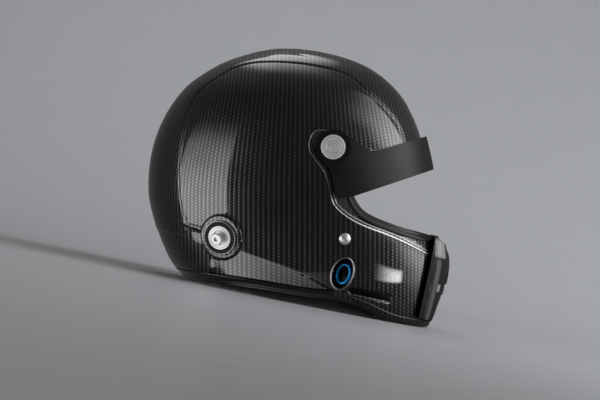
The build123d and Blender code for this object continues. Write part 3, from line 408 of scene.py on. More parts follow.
def merge(piece: bpy.types.Object, fill: bool = False, facing_y: float = 0.0) -> None:
    """Joins a piece's doubled points and turns its faces outward.

    Args:
        piece: The piece.
        fill: Whether its open ends are filled.
        facing_y: The sign of Y that the faces of an open sheet look toward.
    """
    edit = bmesh.new()
    edit.from_mesh(piece.data)
    bmesh.ops.remove_doubles(edit, verts=edit.verts, dist=1e-6)
    if fill:
        bmesh.ops.holes_fill(edit, edges=[e for e in edit.edges if e.is_boundary])
    bmesh.ops.recalc_face_normals(edit, faces=edit.faces)
    edit.faces.ensure_lookup_table()
    if edit.faces[0].normal.y * facing_y < 0:
        bmesh.ops.reverse_faces(edit, faces=edit.faces)
    edit.to_mesh(piece.data)
    edit.free()


def swept(name: str, path: np.ndarray, out: np.ndarray, profile: np.ndarray, closed: bool = True,
          sharp_deg: float = 40.0) -> bpy.types.Object:
    """Carries a closed profile along a path.

    A point of the piece is the path's point, plus the profile's first size along the path's own
    sideways direction, plus its second along out.

    Args:
        name: The piece's name.
        path: Points of the path.
        out: The outward direction at each.
        profile: Sideways and outward sizes of the profile, clockwise.
        closed: Whether the path joins itself.
        sharp_deg: Edges that turn more than this are shaded sharp.

    Returns:
        The new object.
    """
    run = np.roll(path, -1, 0) - np.roll(path, 1, 0) if closed else np.gradient(path, axis=0)
    run = unit(run)
    out = unit(out - run * (out * run).sum(1, keepdims=True))
    aside = np.cross(out, run)
    ring = path[:, None] + profile[None, :, :1] * aside[:, None] + profile[None, :, 1:] * out[:, None]
    count = len(profile)
    ring = np.concatenate([ring, ring[:, :1]], axis=1)
    around = lengths_along(np.vstack([profile, profile[:1]]))
    uv = np.stack(np.meshgrid(lengths_along(path), around, indexing="ij"), -1).reshape(-1, 2)
    faces = grid_faces(len(path), count + 1, closed)
    piece = make_piece(name, ring.reshape(-1, 3), faces, uv, sharp_deg)
    merge(piece, fill=not closed)
    piece.data.set_sharp_from_angle(angle=math.radians(sharp_deg))
    return piece


class Nodes:
    """A short hand for wiring a shader tree."""

    def __init__(self, tree: bpy.types.NodeTree) -> None:
        """Starts on a tree."""
        self.tree = tree

    def add(self, kind: str, **values: object) -> bpy.types.Node:
        """Adds a node and sets its properties."""
        node = self.tree.nodes.new(kind)
        for key, value in values.items():
            setattr(node, key, value)
        return node

    def link(self, source: object, target: object) -> None:
        """Joins an output to an input."""
        self.tree.links.new(source, target)

    def feed(self, target: object, value: object) -> None:
        """Sets an input to a value, or joins it to an output."""
        if isinstance(value, bpy.types.NodeSocket):
            self.link(value, target)
        else:
            target.default_value = value

    def math(self, operation: str, a: object, b: object = 0.0, c: object = 0.0) -> object:
        """A Math node's output."""
        node = self.add("ShaderNodeMath", operation=operation)
        for socket, value in zip(node.inputs, (a, b, c)):
            self.feed(socket, value)
        return node.outputs[0]

    def mix(self, share: object, a: object, b: object) -> object:
        """A colour between two, by a share."""
        node = self.add("ShaderNodeMix", data_type="RGBA")
        self.feed(node.inputs["Factor"], share)
        self.feed(node.inputs[6], a)
        self.feed(node.inputs[7], b)
        return node.outputs[2]

    def axes(self, vector: object) -> object:
        """A vector's three parts."""
        node = self.add("ShaderNodeSeparateXYZ")
        self.link(vector, node.inputs[0])
        return node.outputs

    def noise(self, vector: object, scale: float, detail: float = 3.0) -> object:
        """A noise texture's factor."""
        node = self.add("ShaderNodeTexNoise")
        self.feed(node.inputs["Vector"], vector)
        node.inputs["Scale"].default_value = scale
        node.inputs["Detail"].default_value = detail
        return node.outputs["Fac"]

    def bump(self, height: object, distance: float, strength: float = 1.0) -> object:
        """A Bump node's normal."""
        node = self.add("ShaderNodeBump")
        node.inputs["Strength"].default_value = strength
        node.inputs["Distance"].default_value = distance
        self.feed(node.inputs["Height"], height)
        return node.outputs["Normal"]


def shared_group(name: str, inputs: dict[str, tuple[str, object]], outputs: dict[str, str],
                 wire: Callable[[Nodes, dict, dict], None]) -> bpy.types.NodeTree:
    """Builds a named shader group once.

    Args:
        name: The group's name.
        inputs: Socket kind and starting value of each input, by name.
        outputs: Socket kind of each output, by name.
        wire: Wires the group, given its nodes, inputs and outputs.

    Returns:
        The group's tree.
    """
    if name in bpy.data.node_groups:
        return bpy.data.node_groups[name]
    tree = bpy.data.node_groups.new(name, "ShaderNodeTree")
    for label, (kind, value) in inputs.items():
        socket = tree.interface.new_socket(name=label, in_out="INPUT", socket_type=kind)
        if value is not None:
            socket.default_value = value
    for label, kind in outputs.items():
        tree.interface.new_socket(name=label, in_out="OUTPUT", socket_type=kind)
    nodes = Nodes(tree)
    entry, leave = nodes.add("NodeGroupInput"), nodes.add("NodeGroupOutput")
    wire(nodes, entry.outputs, leave.inputs)
    return tree


def wire_twill(n: Nodes, given: dict, out: dict) -> None:
    """Twill: upright columns of two kinds, each of short slanted tows, rounded across their width.

    The column is the first coordinate over half the column pair, and the tow is the second over its
    pitch, moved on by the lean across a column and by the shift from column to column.
    """
    lean_share, shift_share = 0.55, 0.28
    place = n.axes(given["Place"])
    across = n.math("DIVIDE", place[0], n.math("MULTIPLY", given["Pair"], 0.5))
    column = n.math("FLOORED_MODULO", n.math("FLOOR", across), 2.0)
    share = n.math("FRACT", across)
    along = n.math("DIVIDE", place[1], given["Pitch"])
    lean = n.math("MULTIPLY", n.math("MULTIPLY_ADD", column, -2.0, 1.0), lean_share)
    shift = n.math("MULTIPLY", n.math("FLOOR", across), shift_share)
    phase = n.math("ADD", n.math("MULTIPLY_ADD", share, lean, along), shift)
    away = n.math("SUBTRACT", n.math("MULTIPLY", n.math("FRACT", phase), 2.0), 1.0)
    tow = n.math("SUBTRACT", 1.0, n.math("MULTIPLY", away, away))
    edge = n.math("SUBTRACT", n.math("MULTIPLY", share, 2.0), 1.0)
    round_off = n.math("SUBTRACT", 1.0, n.math("POWER", n.math("ABSOLUTE", edge), 4.0))
    level = n.math("MULTIPLY_ADD", column, -0.80, 1.0)
    dash = n.math("MULTIPLY_ADD", n.math("POWER", tow, 1.6), 0.85, 0.15)
    body = n.math("MULTIPLY", dash, n.math("MULTIPLY", round_off, level))
    fibre = n.noise(given["Place"], 900.0, 2.0)
    cloud = n.noise(given["Place"], 34.0, 3.0)
    strands = n.math("MULTIPLY_ADD", fibre, 0.6, 0.7)
    wear = n.math("MULTIPLY", strands, n.math("MULTIPLY_ADD", cloud, 0.9, 0.55))
    n.link(n.math("MULTIPLY", body, wear), out["Tows"])
    n.link(n.math("MULTIPLY", tow, round_off), out["Height"])


def wire_grain(n: Nodes, given: dict, out: dict) -> None:
    """Moulded grain: fine noise for the height, and a slow cloud for the tone."""
    n.link(n.noise(given["Place"], 2600.0, 2.0), out["Height"])
    n.link(n.noise(given["Place"], 22.0, 3.0), out["Cloud"])


def twill_group() -> bpy.types.NodeTree:
    """The twill weave, shared by the carbon finishes."""
    sizes = {"Pair": ("NodeSocketFloat", 0.0060), "Pitch": ("NodeSocketFloat", 0.0034)}
    return shared_group("twill_weave", {"Place": ("NodeSocketVector", None), **sizes},
                        {"Tows": "NodeSocketFloat", "Height": "NodeSocketFloat"}, wire_twill)


def grain_group() -> bpy.types.NodeTree:
    """The moulded grain, shared by rubber and plastic finishes."""
    return shared_group("moulded_grain", {"Place": ("NodeSocketVector", None)},
                        {"Height": "NodeSocketFloat", "Cloud": "NodeSocketFloat"}, wire_grain)


@dataclass(frozen=True)
class Finish:
    """A finish with one Principled surface, dressed by its own pattern."""

    name: str
    colour: tuple[float, float, float]
    roughness: float = 0.5
    metallic: float = 0.0

    def pattern(self, n: Nodes, surface: bpy.types.Node) -> None:
        """Wires the finish's own pattern into its surface."""

    @cache
    def build(self) -> bpy.types.Material:
        """Makes the material, or gives the one made before."""
        material = bpy.data.materials.new(self.name)
        material.use_nodes = True
        tree = material.node_tree
        tree.nodes.clear()
        n = Nodes(tree)
        surface = n.add("ShaderNodeBsdfPrincipled")
        surface.inputs["Base Color"].default_value = (*self.colour, 1)
        surface.inputs["Roughness"].default_value = self.roughness
        surface.inputs["Metallic"].default_value = self.metallic
        n.link(surface.outputs[0], n.add("ShaderNodeOutputMaterial").inputs["Surface"])
        self.pattern(n, surface)
        return material


@dataclass(frozen=True)
class CarbonTwill(Finish):
    """Carbon twill under a clear gloss coat."""

    pair: float = 0.0054
    pitch: float = 0.0031

    def pattern(self, n: Nodes, surface: bpy.types.Node) -> None:
        """Tows tint a rough, metal-like sheen and stand up under a smooth coat, and the mesh's tone mixes in
        painted highlights near white.
        """
        place = n.add("ShaderNodeUVMap", uv_map="weave")
        weave = n.add("ShaderNodeGroup", node_tree=twill_group())
        n.link(place.outputs[0], weave.inputs["Place"])
        weave.inputs["Pair"].default_value = self.pair
        weave.inputs["Pitch"].default_value = self.pitch
        tows = weave.outputs["Tows"]
        dark = tuple(c * 0.035 for c in self.colour) + (1,)
        # Painted highlights: the mesh's tone lifts the colour toward near white along the shell's step and
        # spine edges.
        tone_and_painted_light = n.add("ShaderNodeAttribute", attribute_name="tone_and_painted_light").outputs["Fac"]
        carbon = n.mix(tows, dark, (*self.colour, 1))
        n.link(n.mix(tone_and_painted_light, carbon, (0.95, 0.95, 0.96, 1)), surface.inputs["Base Color"])
        n.link(n.math("MULTIPLY_ADD", tows, -0.16, self.roughness), surface.inputs["Roughness"])
        n.link(n.bump(weave.outputs["Height"], 0.00022, 0.5), surface.inputs["Normal"])
        surface.inputs["Coat Weight"].default_value = 1.0
        surface.inputs["Coat Roughness"].default_value = 0.025
        surface.inputs["Coat IOR"].default_value = 1.5


@dataclass(frozen=True)
class Moulded(Finish):
    """Moulded rubber or plastic with a fine grain."""

    grain: float = 0.00006
    cloud: float = 0.25
    gloss: float = 0.5

    def pattern(self, n: Nodes, surface: bpy.types.Node) -> None:
        """Grain stands up a little, and a slow cloud varies tone and roughness."""
        place = n.add("ShaderNodeTexCoord")
        grain = n.add("ShaderNodeGroup", node_tree=grain_group())
        n.link(place.outputs["Object"], grain.inputs["Place"])
        surface.inputs["Specular IOR Level"].default_value = self.gloss
        light = tuple(c * (1 + self.cloud) for c in self.colour)
        dark = tuple(c * (1 - self.cloud) for c in self.colour)
        n.link(n.mix(grain.outputs["Cloud"], (*dark, 1), (*light, 1)), surface.inputs["Base Color"])
        rough = n.math("MULTIPLY_ADD", grain.outputs["Cloud"], 0.12, self.roughness - 0.06)
        n.link(rough, surface.inputs["Roughness"])
        n.link(n.bump(grain.outputs["Height"], self.grain, 0.6), surface.inputs["Normal"])


@dataclass(frozen=True)
class ToneAndHighlightMoulding(Moulded):
    """A moulding painted lighter where its mesh says so: painted highlights on its raised parts, and lighter
    grey parts.
    """

    # The colour that painted highlights and lighter grey parts are mixed toward.
    light: tuple[float, float, float] = (0.50, 0.50, 0.51)

    def pattern(self, n: Nodes, surface: bpy.types.Node) -> None:
        """Mixes the moulding's colour with the light one by the mesh's tone, which holds painted highlights.
        """
        super().pattern(n, surface)
        plain = surface.inputs["Base Color"].links[0].from_socket
        tone_and_painted_light = n.add("ShaderNodeAttribute", attribute_name="tone_and_painted_light").outputs["Fac"]
        n.link(n.mix(tone_and_painted_light, plain, (*self.light, 1)), surface.inputs["Base Color"])


@dataclass(frozen=True)
class BackdropPaint(Moulded):
    """Matt paint that shows from its front only, so a camera behind the wall looks through it."""

    def pattern(self, n: Nodes, surface: bpy.types.Node) -> None:
        """Puts a clear shader where the back is seen."""
        super().pattern(n, surface)
        shown = n.add("ShaderNodeMixShader")
        n.link(n.add("ShaderNodeNewGeometry").outputs["Backfacing"], shown.inputs[0])
        n.link(surface.outputs[0], shown.inputs[1])
        n.link(n.add("ShaderNodeBsdfTransparent").outputs[0], shown.inputs[2])
        n.link(shown.outputs[0], n.tree.nodes["Material Output"].inputs["Surface"])


@dataclass(frozen=True)
class TurnedMetal(Finish):
    """Metal turned on a lathe, with fine rings about its own axis."""

    centre: tuple[float, float, float] = (0.0, 0.0, 0.0)
    axis: tuple[float, float, float] = (0.0, 1.0, 0.0)
    ring_pitch: float = 0.0006
    cut: float = 0.00004
    grooves: tuple[tuple[float, float], ...] = ()

    def pattern(self, n: Nodes, surface: bpy.types.Node) -> None:
        """Fine rings are waves of the distance from the axis, and grooves are sunk and painted with shade at
        their own radii.
        """
        place = n.add("ShaderNodeTexCoord")
        flat = n.add("ShaderNodeVectorMath", operation="SUBTRACT")
        n.link(place.outputs["Object"], flat.inputs[0])
        flat.inputs[1].default_value = self.centre
        along = n.add("ShaderNodeVectorMath", operation="PROJECT")
        n.link(flat.outputs[0], along.inputs[0])
        along.inputs[1].default_value = self.axis
        rest = n.add("ShaderNodeVectorMath", operation="DISTANCE")
        n.link(flat.outputs[0], rest.inputs[0])
        n.link(along.outputs[0], rest.inputs[1])
        wave = n.math("SINE", n.math("MULTIPLY", rest.outputs["Value"], 2 * math.pi / self.ring_pitch))
        grime = n.noise(place.outputs["Object"], 160.0, 3.0)
        n.link(n.math("MULTIPLY_ADD", grime, 0.14, self.roughness - 0.07), surface.inputs["Roughness"])
        dull = tuple(c * 0.82 for c in self.colour)
        tone_and_painted_light = n.mix(grime, (*dull, 1), (*self.colour, 1))
        height = n.math("MULTIPLY", wave, 0.12)
        for radius, width in self.grooves:
            off = n.math("ABSOLUTE", n.math("SUBTRACT", rest.outputs["Value"], radius))
            away = n.math("DIVIDE", off, width)
            inside = n.math("SUBTRACT", 1.0, n.math("MINIMUM", n.math("MULTIPLY", away, away), 1.0))
            height = n.math("SUBTRACT", height, inside)
            # Painted shade in each groove: the colour is darkened toward near black there.
            tone_and_painted_light = n.mix(n.math("MULTIPLY", inside, 0.55), tone_and_painted_light, (0.10, 0.10, 0.10, 1))
        n.link(tone_and_painted_light, surface.inputs["Base Color"])
        n.link(n.bump(height, self.cut, 0.7), surface.inputs["Normal"])


@dataclass(frozen=True)
class BeadFoam(Finish):
    """Moulded bead foam: packed cells with dark seams."""

    bead: float = 0.0035

    def pattern(self, n: Nodes, surface: bpy.types.Node) -> None:
        """Distance to the cell's edge darkens the seams and rounds the beads."""
        place = n.add("ShaderNodeTexCoord")
        cells = n.add("ShaderNodeTexVoronoi", feature="DISTANCE_TO_EDGE")
        n.link(place.outputs["Object"], cells.inputs["Vector"])
        cells.inputs["Scale"].default_value = 1 / self.bead
        seam = n.math("MINIMUM", n.math("MULTIPLY", cells.outputs["Distance"], 6.0), 1.0)
        dark = tuple(c * 0.45 for c in self.colour)
        n.link(n.mix(seam, (*dark, 1), (*self.colour, 1)), surface.inputs["Base Color"])
        n.link(n.bump(seam, 0.0002, 0.6), surface.inputs["Normal"])


@dataclass(frozen=True)
class Knit(Finish):
    """Flame-resistant knit: fine ribs of small loops, with rows of stitches beside a sewn channel."""

    rib: float = 0.0011
    seam_x: float = 9.0
    stitch: float = 0.0034
    stitch_share: float = 0.68
    row_aside: float = 0.0062
    row_half: float = 0.00045
    thread_colour: tuple[float, float, float] = (0.16, 0.16, 0.165)

    def pattern(self, n: Nodes, surface: bpy.types.Node) -> None:
        """Loops are waves of length and height; stitches are dashes at a set distance beside the seam."""
        place = n.add("ShaderNodeTexCoord")
        x, y, z = n.axes(place.outputs["Object"])
        turn = 2 * math.pi / self.rib
        around = n.math("SINE", n.math("MULTIPLY", n.math("ADD", x, y), turn))
        loops = n.math("MULTIPLY", around, n.math("SINE", n.math("MULTIPLY", z, turn)))
        cloud = n.noise(place.outputs["Object"], 45.0, 4.0)
        from_seam = n.math("ABSOLUTE", n.math("SUBTRACT", x, self.seam_x))
        beside = n.math("ABSOLUTE", n.math("SUBTRACT", from_seam, self.row_aside))
        row = n.math("LESS_THAN", beside, self.row_half)
        dash = n.math("LESS_THAN", n.math("FRACT", n.math("DIVIDE", z, self.stitch)), self.stitch_share)
        thread = n.math("MULTIPLY", row, dash)
        dark = tuple(c * 0.55 for c in self.colour) + (1,)
        cloth = n.mix(n.math("MULTIPLY_ADD", loops, 0.3, cloud), dark, (*self.colour, 1))
        n.link(n.mix(thread, cloth, (*self.thread_colour, 1)), surface.inputs["Base Color"])
        height = n.math("ADD", n.math("MULTIPLY", loops, 0.5), n.math("MULTIPLY_ADD", cloud, 1.4, thread))
        n.link(n.bump(height, 0.00025, 0.8), surface.inputs["Normal"])
        surface.inputs["Sheen Weight"].default_value = 0.35
        surface.inputs["Sheen Roughness"].default_value = 0.45
        surface.inputs["Specular IOR Level"].default_value = 0.15


@dataclass(frozen=True)
class Webbing(Finish):
    """Woven webbing: slanting ribs that meet at the middle, firm edges and two rows of stitches."""

    half: float = 0.0125
    rib: float = 0.0018
    stitch: float = 0.003
    stitch_share: float = 0.65
    row_aside: float = 0.003
    row_half: float = 0.0004
    thread_colour: tuple[float, float, float] = (0.14, 0.14, 0.14)

    def pattern(self, n: Nodes, surface: bpy.types.Node) -> None:
        """Ribs are waves of length plus distance from the middle, and stitches run beside the edge."""
        along, across, _ = n.axes(n.add("ShaderNodeUVMap", uv_map="weave").outputs[0])
        folded = n.math("PINGPONG", across, self.half)
        rib = n.math("SINE", n.math("MULTIPLY", n.math("ADD", along, folded), 2 * math.pi / self.rib))
        beside = n.math("ABSOLUTE", n.math("SUBTRACT", folded, self.row_aside))
        row = n.math("LESS_THAN", beside, self.row_half)
        dash = n.math("LESS_THAN", n.math("FRACT", n.math("DIVIDE", along, self.stitch)), self.stitch_share)
        thread = n.math("MULTIPLY", row, dash)
        dark = tuple(c * 0.5 for c in self.colour) + (1,)
        cloth = n.mix(n.math("MULTIPLY_ADD", rib, 0.4, 0.5), dark, (*self.colour, 1))
        n.link(n.mix(thread, cloth, (*self.thread_colour, 1)), surface.inputs["Base Color"])
        n.link(n.bump(n.math("ADD", rib, thread), 0.00015, 0.8), surface.inputs["Normal"])
        surface.inputs["Sheen Weight"].default_value = 0.25
        surface.inputs["Specular IOR Level"].default_value = 0.25


CARBON = CarbonTwill("twill_under_gloss_painted_edges", (0.120, 0.120, 0.125), 0.50, 1.0)
RUBBER = Moulded("satin_rubber", (0.010, 0.010, 0.0105), 0.34)
EYE_RUBBER = Moulded("dark_rubber", (0.006, 0.006, 0.0064), 0.30, gloss=0.22)
PEAK_PLASTIC = Moulded("matt_moulding", (0.0060, 0.0060, 0.0064), 0.46, grain=0.00004, gloss=0.32)
MODULE_PLASTIC = Moulded("satin_moulding", (0.011, 0.011, 0.0115), 0.33, grain=0.00003)
MODULE_TONE_AND_HIGHLIGHTS = ToneAndHighlightMoulding("satin_module_tone_and_highlights", (0.008, 0.008, 0.0085), 0.36, grain=0.00003)
GREY_TAB = Moulded("grey_moulding", (0.30, 0.30, 0.31), 0.4)
MESH_BLACK = Moulded("coated_mesh", (0.012, 0.012, 0.012), 0.4)
FOAM = BeadFoam("bead_foam", (0.030, 0.030, 0.032), 0.8)
RING_BLACK = Moulded("gloss_black", (0.003, 0.003, 0.003), 0.30, grain=0.00001, gloss=0.10)
RIM_SATIN = Moulded("rim_satin", (0.30, 0.30, 0.31), 0.30, 0.9, grain=0.00002, cloud=0.1)
KNIT = Knit("knit_black", (0.022, 0.022, 0.024), 0.85, seam_x=0.01375)
KNIT_PLAIN = Knit("knit_plain", (0.022, 0.022, 0.024), 0.85)
WEBBING = Webbing("webbing_black", (0.020, 0.020, 0.022), 0.75)
STEEL = Moulded("plain_steel", (0.55, 0.55, 0.56), 0.3, 1.0, cloud=0.1)


def dress(nodes: list[str], finish: Finish) -> None:
    """Gives CAD nodes a finish.

    Args:
        nodes: Names of the nodes.
        finish: The finish they get.
    """
    for name in nodes:
        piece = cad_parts[name]
        if not piece.material_slots:
            piece.data.materials.append(None)
        for slot in piece.material_slots:
            slot.material = finish.build()


def settle(piece: bpy.types.Object, body: str, slot: str, finish: Finish, *nodes: str) -> bpy.types.Object:
    """Dresses a new piece, ties it to its body and hides the CAD nodes that it stands for."""
    piece.data.materials.append(finish.build())
    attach(piece, body)
    if nodes:
        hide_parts(*nodes)
    LOG.info("%s: %d faces on %s", piece.name, len(piece.data.polygons), body)
    return piece


@dataclass
class Net:
    """A net of triangles on the form, which can be cut along a level of a field."""

    points: np.ndarray
    faces: np.ndarray
    fixed: np.ndarray
    near: float = 0.3

    @classmethod
    def on_grid(cls, grid: np.ndarray) -> "Net":
        """Makes a net of a closed grid, with its last row joined to one point at the crown."""
        around, levels = grid.shape[:2]
        quads = grid_faces(around, levels, True)
        crown = around * levels
        last = np.arange(around) * levels + levels - 1
        top = np.stack([last, np.roll(last, -1), np.full(around, crown)], 1)
        faces = np.vstack([quads[:, [0, 1, 2]], quads[:, [0, 2, 3]], top])
        points = np.vstack([grid.reshape(-1, 3), grid[:, -1].mean(0)])
        fixed = np.zeros(len(points), bool)
        fixed[::levels] = True
        fixed[crown] = True
        return cls(points, faces, fixed)

    def led(self, p: np.ndarray, read: Field, level: float) -> np.ndarray:
        """Points led along the form onto a level: each moves by its missing distance over the slope."""
        for _ in range(4):
            out = FORM.normal(p)
            slope = FORM.gradient(p, read)
            slope = slope - out * (slope * out).sum(-1, keepdims=True)
            size = np.maximum((slope**2).sum(-1, keepdims=True), 0.02)
            p = FORM.seated(p - slope * ((read(p) - level)[:, None] / size), rounds=2)
        return p

    def cut(self, read: Field, level: float) -> None:
        """Brings points that lie near the level onto it, and splits the triangles that it still crosses.

        Args:
            read: The field.
            level: The level to cut along.
        """
        d = read(self.points) - level
        sides = np.sort(self.faces[:, [[0, 1], [1, 2], [2, 0]]].reshape(-1, 2), axis=1)
        keys = sides @ np.array([len(self.points), 1])
        _, first, where = np.unique(keys, return_index=True, return_inverse=True)
        a, b = sides[first].T
        crosses = d[a] * d[b] < 0
        share = d[a] / np.where(crosses, d[a] - d[b], 1)
        close_a = crosses & (share < self.near) & ~self.fixed[a]
        close_b = crosses & (share > 1 - self.near) & ~self.fixed[b]
        chosen = np.unique(np.concatenate([a[close_a], b[close_b]]))
        self.points[chosen] = self.led(self.points[chosen], read, level)
        self.fixed[chosen] = True
        d[chosen] = 0
        crosses = d[a] * d[b] < 0
        ends = np.nonzero(crosses)[0]
        share = (d[a[ends]] / (d[a[ends]] - d[b[ends]]))[:, None]
        fresh = self.points[a[ends]] * (1 - share) + self.points[b[ends]] * share
        middle = np.full(len(a), -1)
        middle[ends] = len(self.points) + np.arange(len(ends))
        self.points = np.vstack([self.points, self.led(FORM.seated(fresh), read, level)])
        self.fixed = np.concatenate([self.fixed, np.ones(len(ends), bool)])
        cut = crosses[where].reshape(-1, 3)
        middles = middle[where].reshape(-1, 3)
        count = cut.sum(1)
        kept = [self.faces[count == 0]]
        for number in (1, 2):
            rows = np.nonzero(count == number)[0]
            odd = (cut[rows] if number == 1 else ~cut[rows]).argmax(1)
            order = (np.arange(3)[None] + ((odd - 1) % 3)[:, None]) % 3
            f = np.take_along_axis(self.faces[rows], order, 1)
            m = np.take_along_axis(middles[rows], order, 1)
            if number == 1:
                kept += [np.stack([f[:, 0], f[:, 1], m[:, 1]], 1), np.stack([f[:, 0], m[:, 1], f[:, 2]], 1)]
            else:
                kept += [np.stack([f[:, 0], m[:, 0], m[:, 2]], 1), np.stack([m[:, 0], f[:, 1], f[:, 2]], 1),
                         np.stack([m[:, 0], f[:, 2], m[:, 2]], 1)]
        self.faces = np.vstack(kept)


def store_tone_and_painted_light(piece: bpy.types.Object, values: np.ndarray) -> None:
    """Stores how light each point is painted, painted highlights included, for finishes that read it."""
    layer = piece.data.attributes.new("tone_and_painted_light", "FLOAT", "POINT")
    layer.data.foreach_set("value", values.astype(np.float32))


@dataclass
class CarbonShell:
    """The laminated outer shell, its sunken eye band, raised spine, bosses and pressed slots."""

    around: int = 264
    levels: int = 118
    wall: float = 0.004
    trim_grip: float = 0.004
    recess_depth: float = 0.0018
    step_slope: float = 0.0011
    step_apart: float = 0.0031
    spine_rise: float = 0.0012
    spine_fall: float = 0.0011
    spine_slope: float = 0.0020
    # Painted highlights: the spine's edge and both step edges of the sunken band are painted lighter at these
    # distances; the last two step values make the sunken band a little lighter.
    spine_edge: tuple[float, float, float] = (-0.0011, -0.0004, 0.0)
    spine_edge_highlights: tuple[float, float, float] = (0.0, 0.10, 0.0)
    step_highlights_and_band_tone: tuple[float, ...] = (0.0, 0.85, 0.85, 0.0, 0.0, 0.45, 0.45, 0.06, 0.09)
    tuck_depth: float = 0.0016
    slot_depth: float = 0.0018
    slot_slope: float = 0.0020
    wing_rise: float = 0.0017
    wing_radii: tuple[float, float] = (0.0070, 0.0020)
    post_boss: float = 0.0215
    post_taper: float = 0.0035
    post_stand: float = 0.0024
    pivot_boss: float = 0.014
    pivot_stand: float = 0.0016
    pivot_taper: float = 0.0008
    port_width: float = 0.0243
    port_tall: float = 0.0363
    port_rake_deg: float = 8.0
    weave_lean_deg: float = 11.7
    weave_middle: float = 0.107
    weave_reach: float = 0.172
    weave_girth: float = 0.125
    weave_stretch: float = 1.4

    def edge_rise(self, x: np.ndarray) -> np.ndarray:
        """Height of the bottom edge over the table at lengths."""
        line = smooth_line(FORM.place(EDGE_RISE_SHARES), 12)
        return np.interp(x, line[:, 0], line[:, 1])

    def grid(self) -> np.ndarray:
        """Points of the plain form, evenly spaced up its side from the bottom edge to the crown."""
        fine = np.linspace(0, 1, 2000)
        side = FORM.points(np.full(2000, math.pi / 2), fine * FORM.height)
        length = lengths_along(side)
        level = np.interp(np.linspace(0, length[-1], self.levels), length, fine)
        turn = np.linspace(0, 2 * math.pi, self.around, endpoint=False)[:, None]
        z = np.broadcast_to(level * FORM.height, (self.around, self.levels))
        for _ in range(3):
            low = self.edge_rise(FORM.points(turn, z)[:, :1, 0]) + self.trim_grip
            z = low + level * (FORM.height - low)
        return FORM.points(turn, z)

    def port(self) -> Field:
        """The side-view distance inside the raked oval port."""
        centre = FORM.place(PORT_SHARE)
        rake = math.radians(self.port_rake_deg)
        a, b = self.port_width / 2, self.port_tall / 2

        def read(p: np.ndarray) -> np.ndarray:
            x, z = p[..., 0] - centre[0], p[..., 2] - centre[1]
            u = (x * math.cos(rake) - z * math.sin(rake)) / a
            v = (x * math.sin(rake) + z * math.cos(rake)) / b
            return (1 - np.hypot(u, v)) * a

        return read

    def disc(self, share: tuple[float, float], radius: float) -> Field:
        """The distance inside a round about a side seat's outward axis, on both sides."""
        point, out = FORM.side_seat(share, Side.LEFT)

        def read(p: np.ndarray) -> np.ndarray:
            q = p * np.array([1, 0, 1]) + np.abs(p) * np.array([0, 1, 0]) - point
            away = q - (q @ out)[..., None] * out
            return radius - np.linalg.norm(away, axis=-1)

        return read

    def fields(self) -> dict[str, Field]:
        """The distance inside each feature, by name."""
        slot_ends = FORM.place(SLOT_SHARES)
        radius = SLOT_TALL_SHARE * FORM.height / 2
        run = (slot_ends[1] - slot_ends[0]) / np.linalg.norm(slot_ends[1] - slot_ends[0]) * radius
        past_front = FORM.place([(1.4, 0.662), (1.4, 0.35)])
        eyeport = np.vstack([smooth_line(FORM.place(EYEPORT_SHARES), 10), past_front])
        seam = FORM.place((SEAM_SHARE, 0))[0]
        return {
            "eyeport": inside_by(eyeport),
            "recess": inside_by(rounded(FORM.place(RECESS_SHARES), 3)),
            "spine": inside_by(rounded(FORM.place(SPINE_SHARES), 2)),
            "tuck": inside_by(rounded(FORM.place(TUCK_SHARES), 2)),
            "chin": lambda p: p[..., 0] - seam,
            "slot": capsule(slot_ends[0] + run, slot_ends[1] - run, radius, radius),
            "wing": capsule(*FORM.place(WING_SHARES), *self.wing_radii),
            "post": self.disc(POST_SHARE, self.post_boss),
            "pivot": self.disc(PIVOT_SHARE, self.pivot_boss),
            "port": self.port(),
        }

    def weave_place(self, p: np.ndarray) -> np.ndarray:
        """Pattern coordinates: columns follow the arc length round the tilted upright, rows the latitude."""
        lean = math.radians(self.weave_lean_deg)
        x = p[..., 0] * math.cos(lean) + (p[..., 2] - self.weave_middle) * math.sin(lean)
        z = -p[..., 0] * math.sin(lean) + (p[..., 2] - self.weave_middle) * math.cos(lean)
        reach = self.weave_reach * (1 - 0.18 * ease(z, 0.15))
        across = self.weave_reach * np.arcsin(np.clip(x / reach, -0.999, 0.999))
        along = self.weave_girth * np.arctan2(z, np.sqrt((x / self.weave_stretch) ** 2 + p[..., 1] ** 2))
        return np.stack([across, along], -1)

    def step_levels(self) -> tuple[float, ...]:
        """Distances inside the recess at which its two steps begin, turn and end."""
        step = (-0.0006, 0.0, self.step_slope / 2, self.step_slope)
        return (*step, *(self.step_apart + level for level in step))

    def tones_with_painted_highlights(self, p: np.ndarray, fields: dict[str, Field]) -> np.ndarray:
        """How light each point's carbon is painted: painted highlights along both step edges and the spine's
        edge, and a slightly lighter sunken band.
        """
        recess, spine = fields["recess"](p), fields["spine"](p)
        edges = np.interp(recess, self.step_levels() + (self.step_apart + 0.004,), self.step_highlights_and_band_tone)
        # Toward the front the sunken band loses its lighter tone, past the second step.
        edges = edges * (1 - ease(recess - self.step_apart - 0.0012, 0.001) * ease(p[..., 0] - 0.085, 0.030))
        # The painted edge highlights grow stronger toward the front.
        ahead = np.clip(edges * (0.65 + 0.35 * ease(p[..., 0] - 0.045, 0.035)), 0, 1)
        # A faint painted highlight along the spine's edge.
        return np.maximum(ahead, np.interp(spine, self.spine_edge, self.spine_edge_highlights))

